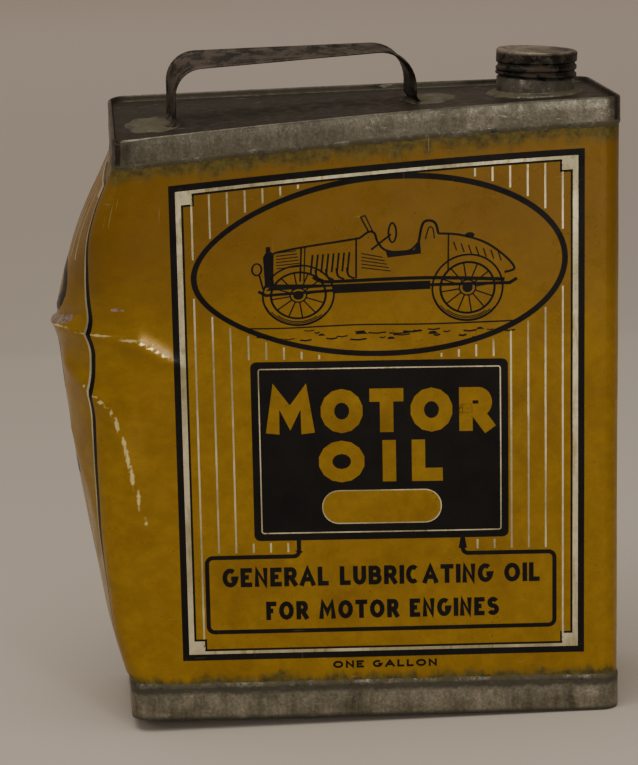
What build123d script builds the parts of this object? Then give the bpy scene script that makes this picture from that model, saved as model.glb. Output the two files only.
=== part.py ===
"""One-gallon flat oil can with a dented side: soldered tinplate body, strap handle and screw cap.

Millimetres, +Z up, the printed front panel faces -Y, and the origin is the centre of the base rim.
"""

import os
from math import cos, radians, sin

from build123d import *

# Whole can, over the end seams
WIDTH = 203.2
DEPTH = 77.4
HEIGHT = 256.0

# Sheet, end seams and solder
TIN = 0.4
SEAM_GAP = 0.1
SEAM_RADIUS = 8.0
TOP_SKIRT = 10.5
BOTTOM_SKIRT = 14.5
PANEL_RECESS = 2.5
BEAD_HEIGHT = 1.2
BEAD_CLEARANCE = 0.05
BODY_INSET = TIN + SEAM_GAP
FOLD_INSET = BODY_INSET + TIN + SEAM_GAP

# Blow on the top left corner: how far the end sank at its front and back left corners
FRONT_DROP = 12.0
BACK_DROP = 2.6
DROP_POWER = 1.5
DROP_POINTS = 7

# Left wall, pushed out by that blow: height, then how far the corners and the middle moved out
CREASE_HEIGHT = 167.0
NO_BULGE = 0.04
BULGE_ROOM = 40.0
LEFT_WALL = (
    (BODY_INSET, 0.0, NO_BULGE),
    (BOTTOM_SKIRT + BEAD_HEIGHT + 0.3, 0.0, NO_BULGE),
    (42.0, 5.5, 8.7),
    (75.0, 7.4, 14.0),
    (106.0, 6.2, 18.7),
    (137.0, 4.0, 22.4),
    (160.0, 1.5, 24.6),
    (CREASE_HEIGHT, 1.0, 25.9),
    (182.0, 5.0, 22.7),
    (203.0, 9.5, 17.0),
    (222.0, 7.5, 10.0),
    (231.5, 0.0, NO_BULGE),
    (HEIGHT + 1.0, 0.0, NO_BULGE),
)

# Lock seam of the body, down the back
SEAM_X = 70.0
LOCK_WIDTH = 6.0
LOCK_THICKNESS = 0.8
SEAM_BEAD_WIDTH = 2.4
SEAM_BEAD_THICKNESS = 0.4

# Spout, knocked over to the right with the panel around it
SPOUT_X = 74.0
SPOUT_Y = 9.0
SPOUT_TILT = 3.0
COLLAR_RADIUS = 16.1
COLLAR_HEIGHT = 6.4
SHOULDER_HEIGHT = 0.8
FLANGE_RADIUS = 18.0
NECK_RADIUS = 14.6
NECK_HEIGHT = 16.0
PANEL_HOLE_RADIUS = 15.5
SPOUT_BEAD = 2.2
SPOUT_BEAD_HEIGHT = 0.7
SPOUT_SINK = 3.0

# Screw thread and cap
PITCH = 3.175
THREAD_DEPTH = 1.0
THREAD_ROOT = 1.5
THREAD_CREST = 0.7
NECK_TURNS = 1.5
NECK_THREAD_START = 9.9
CAP_TURNS = 1.25
CAP_RADIUS = 16.75
CAP_WALL = 0.45
CAP_HEIGHT = 10.4
CAP_TOP_RADIUS = 1.2
CAP_THREAD_TIP = 15.0
FIT_GAP = 0.05
LINER_THICKNESS = 1.2
LINER_RADIUS = 15.8

# Strap handle, a little askew and twisted: the front edge is side -1, the back edge side 1
STRAP = 1.2
STRAP_WIDTH = 20.0
HANDLE_X = -27.3
HANDLE_Y = 1.0
HANDLE_SKEW = 6.9
HANDLE_HALF_SPAN = 50.1
FOOT_LENGTH = 13.0
FOOT_BEND = 1.6
HANDLE_LEFT_BEND = 12.0
HANDLE_RIGHT_BEND = 15.0
HANDLE_TOP = {-1: (269.1, 274.0), 1: (274.8, 275.0)}
FOOT_CLEARANCE = 0.06
PAD_LENGTH = 27.0
PAD_WIDTH = 30.0
PAD_THICKNESS = 1.0


def edge_drop(x, corner_drop):
    """How far a long edge of the top end sank at x, for a given sinking of its left corner."""
    return corner_drop * ((WIDTH / 2 - x) / WIDTH) ** DROP_POWER


def top_height(x, y):
    """Height of the top end's rim surface at any place on the sunken top."""
    back_share = 0.5 + y / DEPTH
    sunk = edge_drop(x, FRONT_DROP) * (1 - back_share) + edge_drop(x, BACK_DROP) * back_share
    return HEIGHT - sunk


def end_outline(inset, mode=Mode.ADD):
    """Rounded rectangle of the end seams, drawn smaller by inset on each side."""
    RectangleRounded(WIDTH - 2 * inset, DEPTH - 2 * inset, SEAM_RADIUS - inset, mode=mode)


def wall_places(corner_out, middle_out, inset):
    """Right wall, side wall, left corner and left middle of a body section."""
    right = WIDTH / 2 - inset
    side = DEPTH / 2 - inset
    corner = -right - corner_out
    middle = -right - max(middle_out, corner_out + NO_BULGE)
    return right, side, corner, middle


def space_below_top(offset):
    """Everything under the sunken top surface, with that surface moved by offset."""
    with BuildPart() as space:
        for edge_y, corner_drop in ((-DEPTH / 2, FRONT_DROP), (DEPTH / 2, BACK_DROP)):
            with BuildSketch(Plane.XZ.offset(-edge_y)):
                with BuildLine():
                    stations = [WIDTH * (i / (DROP_POINTS - 1) - 0.5) for i in range(DROP_POINTS)]
                    rim = Spline([(x, HEIGHT + offset - edge_drop(x, corner_drop)) for x in stations])
                    left = -WIDTH / 2 - BULGE_ROOM
                    Polyline(rim @ 1, (WIDTH / 2, -1), (left, -1), (left, (rim @ 0).Y), rim @ 0)
                make_face()
        loft(ruled=True)
    return space.part


def handle_place(along, side):
    """X and Y of a point on the handle, along its skewed length and out to one edge."""
    skew = radians(HANDLE_SKEW)
    across = side * STRAP_WIDTH / 2
    x = HANDLE_X + along * cos(skew) - across * sin(skew)
    y = HANDLE_Y + along * sin(skew) + across * cos(skew)
    return x, y


def strap_corners(side):
    """Corners of the strap's upper surface along one of its long edges, from toe to toe."""
    span = HANDLE_HALF_SPAN
    toe = span + FOOT_LENGTH
    left_top, right_top = HANDLE_TOP[side]
    lift = FOOT_CLEARANCE + STRAP - PANEL_RECESS
    feet = [(along, top_height(*handle_place(along, side)) + lift) for along in (-toe, -span, span, toe)]
    return [feet[0], feet[1], (-span, left_top), (span, right_top), feet[2], feet[3]]


# Solids that follow the sunken top, used to trim the pieces that meet it
under_rim = space_below_top(0)
under_fold = space_below_top(-TIN)
under_body_edge = space_below_top(-TIN - SEAM_GAP)
under_panel_top = space_below_top(-PANEL_RECESS)
under_panel = space_below_top(-PANEL_RECESS - TIN)
under_skirt = space_below_top(-TOP_SKIRT)
under_top_bead = space_below_top(-TOP_SKIRT - BEAD_HEIGHT)
under_pads = space_below_top(-PANEL_RECESS + PAD_THICKNESS)
under_flange_top = space_below_top(-PANEL_RECESS + TIN)
under_spout_bead = space_below_top(-PANEL_RECESS + SPOUT_BEAD_HEIGHT)

panel_at_spout = top_height(SPOUT_X, SPOUT_Y) - PANEL_RECESS
tilt = radians(SPOUT_TILT)
spout_foot = (SPOUT_X, SPOUT_Y, panel_at_spout)
spout_plane = Plane(origin=spout_foot, x_dir=(cos(tilt), 0, -sin(tilt)), z_dir=(sin(tilt), 0, cos(tilt)))
spout_side = Plane(origin=spout_plane.origin, x_dir=spout_plane.x_dir, z_dir=-spout_plane.y_dir)
spout_axis = Axis(spout_plane.origin, spout_plane.z_dir)
flange_plane = Plane(origin=(SPOUT_X, SPOUT_Y, HEIGHT / 2))
cap_base = NECK_HEIGHT + FIT_GAP + LINER_THICKNESS + FIT_GAP + CAP_WALL - CAP_HEIGHT
cap_inside = CAP_RADIUS - CAP_WALL
neck_start = spout_plane.from_local_coords(Vector(0, 0, NECK_THREAD_START))
cap_start = spout_plane.from_local_coords(Vector(0, 0, NECK_THREAD_START - PITCH / 2))


# Body: one printed sheet bent round and locked at the back, open at both ends
with BuildPart() as body_sheet:
    for inset, way in ((BODY_INSET, Mode.ADD), (BODY_INSET + TIN, Mode.SUBTRACT)):
        for height, corner_out, middle_out in LEFT_WALL:
            right, side, corner, middle = wall_places(corner_out, middle_out, inset)
            with BuildSketch(Plane.XY.offset(height)):
                with BuildLine():
                    Polyline((corner, -side), (right, -side), (right, side), (corner, side))
                    ThreePointArc((corner, side), (middle, 0), (corner, -side))
                face = make_face()
                fillet(face.vertices(), SEAM_RADIUS - inset)
        loft(ruled=True, mode=way)
    with BuildSketch(Plane.XY.offset(BOTTOM_SKIRT)):
        with Locations((SEAM_X, DEPTH / 2 - BODY_INSET - TIN - LOCK_THICKNESS / 2 + FIT_GAP)):
            Rectangle(LOCK_WIDTH, LOCK_THICKNESS)
    extrude(amount=HEIGHT - BOTTOM_SKIRT - TOP_SKIRT - PANEL_RECESS)
    add(under_body_edge, mode=Mode.INTERSECT)

# Solder run into the lock seam, standing a little proud down the back
with BuildPart() as side_seam_solder:
    with BuildSketch(Plane.XY.offset(BOTTOM_SKIRT + 2 * BEAD_HEIGHT)):
        with Locations((SEAM_X, DEPTH / 2 - BODY_INSET + BEAD_CLEARANCE + SEAM_BEAD_THICKNESS / 2)):
            RectangleRounded(SEAM_BEAD_WIDTH, SEAM_BEAD_THICKNESS, SEAM_BEAD_THICKNESS * 0.4)
    extrude(amount=HEIGHT - BOTTOM_SKIRT - TOP_SKIRT - 5 * BEAD_HEIGHT)

# Top end: a pressed pan whose rim folds over the body and whose panel is recessed
with BuildPart() as top_groove:
    with BuildSketch():
        end_outline(TIN)
        end_outline(FOLD_INSET, mode=Mode.SUBTRACT)
    extrude(amount=HEIGHT)
    add(under_fold, mode=Mode.INTERSECT)

with BuildPart() as top_pocket:
    with BuildSketch():
        end_outline(FOLD_INSET + TIN)
    extrude(amount=HEIGHT + 1)
    add(under_panel_top, mode=Mode.SUBTRACT)

with BuildPart() as top_inside:
    with BuildSketch():
        end_outline(FOLD_INSET)
    extrude(amount=HEIGHT)
    add(under_panel, mode=Mode.INTERSECT)

with BuildPart() as top_end:
    with BuildSketch():
        end_outline(0)
    extrude(amount=HEIGHT)
    add(under_rim, mode=Mode.INTERSECT)
    add(under_skirt, mode=Mode.SUBTRACT)
    add(top_groove.part, mode=Mode.SUBTRACT)
    add(top_pocket.part, mode=Mode.SUBTRACT)
    add(top_inside.part, mode=Mode.SUBTRACT)
    with BuildSketch(spout_plane.offset(-HEIGHT / 20)):
        Circle(PANEL_HOLE_RADIUS)
    extrude(amount=HEIGHT / 10, mode=Mode.SUBTRACT)

# Bottom end: the same pan, upside down, undamaged, standing on its rim
with BuildPart() as bottom_end:
    with BuildSketch():
        end_outline(0)
    extrude(amount=BOTTOM_SKIRT)
    with BuildSketch(Plane.XY.offset(TIN)):
        end_outline(TIN)
        end_outline(FOLD_INSET, mode=Mode.SUBTRACT)
    extrude(amount=BOTTOM_SKIRT, mode=Mode.SUBTRACT)
    with BuildSketch(Plane.XY.offset(PANEL_RECESS + TIN)):
        end_outline(FOLD_INSET)
    extrude(amount=BOTTOM_SKIRT, mode=Mode.SUBTRACT)
    with BuildSketch():
        end_outline(FOLD_INSET + TIN)
    extrude(amount=PANEL_RECESS, mode=Mode.SUBTRACT)

# Solder beads along the open edges of both skirts
with BuildPart() as top_seam_solder:
    with BuildSketch():
        end_outline(SEAM_GAP)
        end_outline(BODY_INSET - BEAD_CLEARANCE, mode=Mode.SUBTRACT)
    extrude(amount=HEIGHT)
    add(under_skirt, mode=Mode.INTERSECT)
    add(under_top_bead, mode=Mode.SUBTRACT)

with BuildPart() as bottom_seam_solder:
    with BuildSketch(Plane.XY.offset(BOTTOM_SKIRT)):
        end_outline(SEAM_GAP)
        end_outline(BODY_INSET - BEAD_CLEARANCE, mode=Mode.SUBTRACT)
    extrude(amount=BEAD_HEIGHT)

# Spout: flange and collar on the panel, then the narrower screwed neck
with BuildPart() as spout_neck:
    with BuildSketch(flange_plane):
        Circle(FLANGE_RADIUS)
    extrude(amount=HEIGHT)
    add(under_flange_top, mode=Mode.INTERSECT)
    with BuildSketch(spout_side):
        with BuildLine():
            collar_top = COLLAR_HEIGHT + SHOULDER_HEIGHT
            Polyline(
                (0, -SPOUT_SINK),
                (COLLAR_RADIUS, -SPOUT_SINK),
                (COLLAR_RADIUS, COLLAR_HEIGHT),
                (NECK_RADIUS, collar_top),
                (NECK_RADIUS, NECK_HEIGHT),
                (0, NECK_HEIGHT),
                close=True,
            )
        make_face()
    revolve(axis=spout_axis)
    with BuildSketch(spout_side):
        with BuildLine():
            Polyline(
                (0, -SPOUT_SINK - TIN),
                (COLLAR_RADIUS - TIN, -SPOUT_SINK - TIN),
                (COLLAR_RADIUS - TIN, COLLAR_HEIGHT - TIN),
                (NECK_RADIUS - TIN, collar_top - TIN),
                (NECK_RADIUS - TIN, NECK_HEIGHT + TIN),
                (0, NECK_HEIGHT + TIN),
                close=True,
            )
        make_face()
    revolve(axis=spout_axis, mode=Mode.SUBTRACT)
    add(under_panel_top, mode=Mode.SUBTRACT)
    with BuildLine() as neck_helix:
        Helix(PITCH, NECK_TURNS * PITCH, NECK_RADIUS, center=neck_start, direction=spout_plane.z_dir)
    neck_ridge_start = neck_helix.line @ 0
    with BuildSketch(Plane(neck_ridge_start, x_dir=neck_ridge_start - neck_start, z_dir=neck_helix.line % 0)):
        with BuildLine():
            Polyline(
                (-FIT_GAP, -THREAD_ROOT / 2),
                (THREAD_DEPTH, -THREAD_CREST / 2),
                (THREAD_DEPTH, THREAD_CREST / 2),
                (-FIT_GAP, THREAD_ROOT / 2),
                close=True,
            )
        make_face()
    sweep(path=neck_helix.line, is_frenet=True)

# Solder run round the edge of the spout's flange
with BuildPart() as spout_solder:
    with BuildSketch(flange_plane):
        Circle(FLANGE_RADIUS + SPOUT_BEAD)
        Circle(FLANGE_RADIUS + BEAD_CLEARANCE, mode=Mode.SUBTRACT)
    extrude(amount=HEIGHT)
    add(under_spout_bead, mode=Mode.INTERSECT)
    add(under_panel_top, mode=Mode.SUBTRACT)

# Cap: pressed cup with a thread rolled into its wall and a curled lower edge
with BuildPart() as cap_shell:
    with BuildSketch(spout_side):
        with BuildLine():
            cap_top = cap_base + CAP_HEIGHT
            Line((0, cap_top), (CAP_RADIUS - CAP_TOP_RADIUS, cap_top))
            rounding = TangentArc(
                (CAP_RADIUS - CAP_TOP_RADIUS, cap_top), (CAP_RADIUS, cap_top - CAP_TOP_RADIUS), tangent=(1, 0)
            )
            Polyline(
                rounding @ 1,
                (CAP_RADIUS, cap_base),
                (cap_inside, cap_base),
                (cap_inside, cap_top - CAP_WALL),
                (0, cap_top - CAP_WALL),
                (0, cap_top),
            )
        make_face()
    revolve(axis=spout_axis)
    with BuildLine() as cap_helix:
        Helix(PITCH, CAP_TURNS * PITCH, cap_inside, center=cap_start, direction=spout_plane.z_dir)
    cap_ridge_start = cap_helix.line @ 0
    with BuildSketch(Plane(cap_ridge_start, x_dir=cap_ridge_start - cap_start, z_dir=cap_helix.line % 0)):
        with BuildLine():
            Polyline(
                (FIT_GAP, -THREAD_ROOT / 2),
                (CAP_THREAD_TIP - cap_inside, -THREAD_CREST / 2),
                (CAP_THREAD_TIP - cap_inside, THREAD_CREST / 2),
                (FIT_GAP, THREAD_ROOT / 2),
                close=True,
            )
        make_face()
    sweep(path=cap_helix.line, is_frenet=True)

# Cork disc in the top of the cap, pressed on the lip of the neck
with BuildPart() as cap_liner:
    with BuildSketch(spout_plane.offset(NECK_HEIGHT + FIT_GAP)):
        Circle(LINER_RADIUS)
    extrude(amount=LINER_THICKNESS)

# Handle: a flat strap with turned-out feet
skew = radians(HANDLE_SKEW)
with BuildPart() as handle_strap:
    for side in (-1, 1):
        edge_x, edge_y = handle_place(0, side)
        edge_plane = Plane(
            origin=(edge_x, edge_y, 0), x_dir=(cos(skew), sin(skew), 0), z_dir=(sin(skew), -cos(skew), 0)
        )
        with BuildSketch(edge_plane):
            with BuildLine():
                bends = [FOOT_BEND, HANDLE_LEFT_BEND, HANDLE_RIGHT_BEND, FOOT_BEND]
                FilletPolyline(*strap_corners(side), radius=bends)
                offset(amount=STRAP, side=Side.RIGHT)
            make_face()
    loft(ruled=True)

# Solder pads round the handle's feet
solder_pads = []
for end in (-1, 1):
    pad_x, pad_y = handle_place(end * (HANDLE_HALF_SPAN + FOOT_LENGTH / 2), 0)
    pad_plane = Plane(origin=(pad_x, pad_y, HEIGHT / 2), x_dir=(cos(skew), sin(skew), 0), z_dir=(0, 0, 1))
    with BuildPart() as solder_pad:
        with BuildSketch(pad_plane):
            Ellipse(PAD_LENGTH / 2, PAD_WIDTH / 2)
        extrude(amount=HEIGHT / 2)
        add(under_pads, mode=Mode.INTERSECT)
        add(under_panel_top, mode=Mode.SUBTRACT)
        add(handle_strap.part, mode=Mode.SUBTRACT)
    solder_pads.append(solder_pad)
handle_solder_left, handle_solder_right = solder_pads

PIECES = {
    "body_sheet": body_sheet,
    "side_seam_solder": side_seam_solder,
    "top_end": top_end,
    "bottom_end": bottom_end,
    "top_seam_solder": top_seam_solder,
    "bottom_seam_solder": bottom_seam_solder,
    "spout_neck": spout_neck,
    "spout_solder": spout_solder,
    "cap_shell": cap_shell,
    "cap_liner": cap_liner,
    "handle_strap": handle_strap,
    "handle_solder_left": handle_solder_left,
    "handle_solder_right": handle_solder_right,
}

os.makedirs("parts", exist_ok=True)
for name, piece in PIECES.items():
    piece.part.label = name
    export_step(piece.part, f"parts/{name}.step")
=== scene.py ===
"""Looks for the one-gallon oil can: printed tinplate body with one corner struck in, soldered ends, strap
handle and screw cap. Pieces are drawn undamaged in millimetres, bent by dent(), and then put in metres."""

import math
import random

import bmesh
import bpy
from mathutils import Matrix, Vector, noise


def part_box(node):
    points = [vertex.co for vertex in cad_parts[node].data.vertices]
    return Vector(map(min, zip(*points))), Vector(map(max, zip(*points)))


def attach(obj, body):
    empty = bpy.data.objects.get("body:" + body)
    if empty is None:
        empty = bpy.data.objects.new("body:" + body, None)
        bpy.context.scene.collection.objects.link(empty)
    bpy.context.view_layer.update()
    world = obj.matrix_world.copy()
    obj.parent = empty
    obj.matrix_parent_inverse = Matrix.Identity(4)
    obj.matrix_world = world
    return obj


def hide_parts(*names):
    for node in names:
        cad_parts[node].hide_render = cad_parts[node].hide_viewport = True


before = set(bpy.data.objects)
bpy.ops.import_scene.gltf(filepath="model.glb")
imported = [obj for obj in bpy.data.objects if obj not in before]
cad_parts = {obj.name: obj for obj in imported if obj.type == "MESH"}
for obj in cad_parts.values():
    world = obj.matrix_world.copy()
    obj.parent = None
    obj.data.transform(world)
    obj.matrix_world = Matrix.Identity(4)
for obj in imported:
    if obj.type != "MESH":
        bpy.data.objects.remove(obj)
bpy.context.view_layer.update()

MM = 0.001

# Whole can and its end seams
WIDTH = 203.2
DEPTH = 77.4
HEIGHT = 256.0
TIN = 0.4
BODY_INSET = 0.5
CORNER_RADIUS = 8.0
CORNER_SEGMENTS = 8
TOP_SKIRT = 10.5
BOTTOM_SKIRT = 14.5
PANEL_RECESS = 2.5

# The blow on the top left corner
FRONT_DROP = 12.0
BACK_DROP = 2.6
DROP_POWER = 1.5
FRONT_LIFT = 5.2
LEFT_WALL = (
    (0.5, 0.0, 0.04),
    (16.0, 0.0, 0.04),
    (42.0, 5.5, 8.7),
    (75.0, 7.4, 14.0),
    (106.0, 6.2, 18.7),
    (137.0, 4.0, 22.4),
    (160.0, 1.5, 24.6),
    (167.0, 1.0, 25.9),
    (182.0, 5.0, 22.7),
    (203.0, 8.6, 16.4),
    (213.0, 6.8, 12.2),
    (222.0, 4.4, 7.4),
    (232.0, 0.6, 0.8),
    (238.0, 0.0, 0.04),
    (257.0, 0.0, 0.04),
)

# Creases: points as (distance round the sheet from the front left corner, height), lift, reach
CREASES = (
    (((-38, 167), (-8, 163.5), (6.6, 160.5), (18, 151), (32, 146)), 2.1, 9.5),
    (((-25, 148), (-8, 136), (0, 130), (4.6, 116), (9, 94), (11, 80)), 1.5, 8.0),
    (((-42, 170), (-24, 171), (-8, 177)), -2.0, 4.0),
    (((-30, 120), (-16, 96), (-9, 70)), 0.8, 8.0),
)

# Spout and cap
SPOUT = Vector((74.0, 9.0, 253.189))
SPOUT_TILT = 3.0
COLLAR_RADIUS = 16.1
COLLAR_HEIGHT = 6.4
FLANGE_RADIUS = 18.0
NECK_RADIUS = 14.6
NECK_HEIGHT = 16.0
PITCH = 3.175
NECK_THREAD_START = 9.9
CAP_RADIUS = 16.75
CAP_BASE = 7.35
CAP_HEIGHT = 10.4
CAP_WALL = 0.45
LINER_RADIUS = 15.8
LINER_THICKNESS = 1.2

NECK_TURNS = 1.5
NECK_RIDGE = 0.95
CAP_THREAD_START = 6.45
CAP_TURNS = 2.1
CAP_GROOVE = -0.75

# Handle
STRAP = 1.2
STRAP_WIDTH = 20.0
HANDLE_X = -27.3
HANDLE_Y = 1.0
HANDLE_SKEW = math.radians(6.9)
HALF_SPAN = 50.1
FOOT_LENGTH = 13.0
HANDLE_TOP = {-1: (269.1, 274.0), 1: (274.8, 275.0)}
BENDS = (1.6, 12.0, 15.0, 1.6)

# The sheet's free height between its two stiff ends, and how near a wall a point belongs to it
SHEET_LOW = 16.0
SHEET_HIGH = 238.0
NEAR_WALL = 6.0

# Grid that the printed sheet and its inks share
FINE_CUTS = [-100 + 2 * k for k in range(21)]
X_CUTS = FINE_CUTS + [-56 + 4 * k for k in range(40)]
Y_CUTS = [-38 + 2 * k for k in range(39)]
Z_CUTS = [4 * k for k in range(4, 19)] + [76 + 2 * k for k in range(55)] + [188 + 3 * k for k in range(23)]

# Coarser grid of the two ends
END_X_CUTS = [-98 + 4 * k for k in range(50)]
END_Y_CUTS = [-36 + 4 * k for k in range(19)]


def clamp(value, low=0.0, high=1.0):
    """A value kept between two limits."""
    return max(low, min(high, value))


def ease(value, start, end):
    """Smooth step from 0 at start to 1 at end."""
    share = clamp((value - start) / (end - start))
    return share * share * (3 - 2 * share)


def wall_at(height):
    """How far the corners and the middle of the left wall moved out at a height."""
    spread = clamp(min(abs(height - 16), abs(height - 231.5), abs(height - 167)), 0, 6)
    corner, middle = 0.0, 0.0
    for step in (-1, -0.5, 0, 0.5, 1):
        level = clamp(height + spread * step, 0.6, 256)
        for (low, corner_a, middle_a), (high, corner_b, middle_b) in zip(LEFT_WALL, LEFT_WALL[1:]):
            if low <= level <= high:
                share = (level - low) / (high - low)
                corner += (corner_a + (corner_b - corner_a) * share) / 5
                middle += (middle_a + (middle_b - middle_a) * share) / 5
                break
    return corner, middle


def crease_lift(along, height):
    """Outward move of the sheet near the creases of the blow."""
    total = 0.0
    here = Vector((along, height))
    for points, lift, reach in CREASES:
        nearest, place = 1e9, 0.0
        for k, (a, b) in enumerate(zip(points, points[1:])):
            a, b = Vector(a), Vector(b)
            share = clamp((here - a).dot(b - a) / (b - a).length_squared)
            gap = (here - a.lerp(b, share)).length
            if gap < nearest:
                nearest, place = gap, (k + share) / (len(points) - 1)
        if nearest < reach:
            fade = ease(1 - place, 0, 0.35 if lift > 0 else 0.5)
            total += lift * fade * (1 - nearest / reach) ** 1.7
    return total


def round_the_sheet(x, y):
    """Distance round the sheet from the front left corner, along the front or, below 0, along the left wall."""
    return (x + WIDTH / 2) - (y + DEPTH / 2)


def sheet_wave(along, height, side):
    """Gentle unevenness of the thin sheet between its stiff ends."""
    near_end = ease(height, SHEET_LOW, 40) * ease(-height, -SHEET_HIGH, -215)
    slow = noise.noise(Vector((along / 52, height / 46, 3.1 + side)))
    quick = noise.noise(Vector((along / 19, height / 23, 7.7 + side)))
    return (0.42 * slow + 0.1 * quick) * near_end


def panel_drop(x, y):
    """Extra sag of the recessed top panel, nothing near its rim."""
    inside = ease(WIDTH / 2 - abs(x), 5, 22) * ease(DEPTH / 2 - abs(y), 5, 18)
    return inside * (0.5 * noise.noise(Vector((x / 34, y / 22, 5.0))) + 0.15)


def sink(x, y):
    """How far the top end sank at a place."""
    far = clamp(0.5 + y / DEPTH)
    left = clamp((WIDTH / 2 - x) / WIDTH)
    return (FRONT_DROP * (1 - far) + BACK_DROP * far) * left**DROP_POWER


def near_walls(x, y):
    """Which of the front, left, back and right walls a place belongs to."""
    half_width, half_depth = WIDTH / 2 - NEAR_WALL, DEPTH / 2 - NEAR_WALL
    return y < -half_depth, x < -half_width, y > half_depth, x > half_width


def outward_way(x, y):
    """Direction in which the sheet is pushed at a place, turning smoothly round the front left corner."""
    on_front, on_left, on_back, on_right = near_walls(x, y)
    along = round_the_sheet(x, y)
    way = Vector((0, 0, 0))
    if on_front:
        way.y -= ease(along, -3, 4) * ease(-x, -WIDTH / 2 + 1, -WIDTH / 2 + 9)
    if on_left:
        way.x -= ease(-along, -4, 3) * ease(-y, -DEPTH / 2 + 1, -DEPTH / 2 + 9)
    if on_back and not on_left:
        way.y += ease(-x, -WIDTH / 2 + 1, -WIDTH / 2 + 9) * ease(x, -WIDTH / 2 + 1, -WIDTH / 2 + 9)
    if on_right and not on_back and not on_front:
        way.x += 1.0
    if way.length > 1:
        way.normalize()
    return way


def dent(flat):
    """Where a point of the undamaged can is after the blow."""
    x, y, z = flat
    far = clamp(0.5 + y / DEPTH)
    left = clamp((WIDTH / 2 - x) / WIDTH)
    share = ease(z, 140, 232)
    new = Vector((x, y, z + FRONT_LIFT * (1 - far) * left * (1 - share) - sink(x, y) * share))
    if SHEET_LOW < z < 246:
        corner, middle = wall_at(new.z)
        across = clamp(1 - (y / (DEPTH / 2 - BODY_INSET)) ** 2)
        new.x -= (corner + (middle - corner) * across) * ease(-x, 80, 101)
    on_front, on_left, on_back, on_right = near_walls(x, y)
    if SHEET_LOW < z < SHEET_HIGH and (on_front or on_left or on_back or on_right):
        along = round_the_sheet(x, y)
        lift = sheet_wave(along, z, 0 if on_front or on_left else 9)
        if on_front or on_left:
            lift += crease_lift(along, z)
        new += outward_way(x, y) * lift
    if z > HEIGHT - 4:
        new.z -= panel_drop(x, y)
    return new


def nearness(flat, lines):
    """1 on drawn lines of the front and left faces, falling to 0 at each line's reach."""
    x, y, z = flat
    if y > NEAR_WALL - DEPTH / 2 and x > NEAR_WALL - WIDTH / 2:
        return 0.0
    here = Vector((round_the_sheet(x, y), z))
    near = 0.0
    for points, reach in lines:
        for a, b in zip(points, points[1:]):
            a, b = Vector(a), Vector(b)
            share = clamp((here - a).dot(b - a) / (b - a).length_squared)
            near = max(near, 1 - (here - a.lerp(b, share)).length / reach)
    return near


# Where the print is cracked off to bare metal, and the lines along the two sharp creases where folding rubbed it
# thin, painted bright there as a painted highlight of the creases' glints
CRACKED = (
    (((-42, 169), (-30, 168), (-20, 170)), 4.2),
    (((1, 178), (5, 177.2)), 1.6),
)
RUBBED_GLINT_LINES = (
    (((-36, 166.6), (-8, 164.5), (6.6, 161.8), (14, 157.0), (20, 152.5)), 2.6),
    (((-12, 140), (0, 131), (4.6, 117), (9, 95), (11, 83)), 2.3),
)


# ---------------------------------------------------------------- mesh helpers


def cut_grid(bm, x_cuts=(), y_cuts=(), z_cuts=()):
    """Divides a mesh along planes, so that it can bend."""
    for cuts, normal in ((x_cuts, (1, 0, 0)), (y_cuts, (0, 1, 0)), (z_cuts, (0, 0, 1))):
        axis = Vector(normal)
        places = [axis.dot(v.co) for v in bm.verts]
        if not places:
            return
        low, high = min(places), max(places)
        for cut in cuts:
            if low + 0.02 < cut < high - 0.02:
                crossing = [
                    f
                    for f in bm.faces
                    if min(axis.dot(v.co) for v in f.verts) < cut < max(axis.dot(v.co) for v in f.verts)
                ]
                edges = {e for f in crossing for e in f.edges}
                verts = {v for f in crossing for v in f.verts}
                geometry = list(verts) + list(edges) + crossing
                bmesh.ops.bisect_plane(bm, geom=geometry, dist=0.001, plane_co=axis * cut, plane_no=axis)


def rounded_face(bm, matrix, radius, segments):
    """A unit square put through a matrix, as one face, with rounded corners where it has a radius."""
    before = set(bm.faces)
    made = bmesh.ops.create_grid(bm, x_segments=1, y_segments=1, size=0.5, matrix=matrix)
    if radius:
        bmesh.ops.bevel(
            bm,
            geom=made["verts"],
            affect="VERTICES",
            offset=radius,
            offset_type="OFFSET",
            segments=segments,
            profile=0.5,
            material=-1,
        )
    return next(f for f in bm.faces if f not in before)


def outline_rows(rows, fill_last=False):
    """A shell through outlines of the can's plan, given as (inset, height) rows."""
    bm = bmesh.new()
    loops = []
    for inset, height in rows:
        size = Matrix.Diagonal((WIDTH - 2 * inset, DEPTH - 2 * inset, 1, 1))
        before = set(bm.edges)
        rounded_face(bm, Matrix.Translation((0, 0, height)) @ size, CORNER_RADIUS - inset, CORNER_SEGMENTS)
        loops.append([e for e in bm.edges if e not in before])
    last = set(loops[-1])
    for face in list(bm.faces):
        if not (fill_last and all(e in last for e in face.edges)):
            bmesh.ops.delete(bm, geom=[face], context="FACES_ONLY")
    for a, b in zip(loops, loops[1:]):
        bmesh.ops.bridge_loops(bm, edges=a + b)
    bmesh.ops.recalc_face_normals(bm, faces=bm.faces)
    return bm


def spun(profile, steps=96):
    """A shell turned round Z from (radius, height) points."""
    bm = bmesh.new()
    verts = [bm.verts.new((radius, 0, height)) for radius, height in profile]
    edges = [bm.edges.new(pair) for pair in zip(verts, verts[1:])]
    bmesh.ops.spin(
        bm,
        geom=verts + edges,
        cent=(0, 0, 0),
        axis=(0, 0, 1),
        angle=2 * math.pi,
        steps=steps,
        use_merge=True,
    )
    bmesh.ops.remove_doubles(bm, verts=bm.verts, dist=0.001)
    bmesh.ops.dissolve_degenerate(bm, edges=bm.edges, dist=0.0005)
    bmesh.ops.recalc_face_normals(bm, faces=bm.faces)
    return bm


def thicken(bm, thickness):
    """Gives a sheet its thickness."""
    bmesh.ops.solidify(bm, geom=bm.faces[:], thickness=thickness)


def cad_corners(node):
    """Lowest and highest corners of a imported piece, in millimetres."""
    return [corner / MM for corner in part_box(node)]


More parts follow.
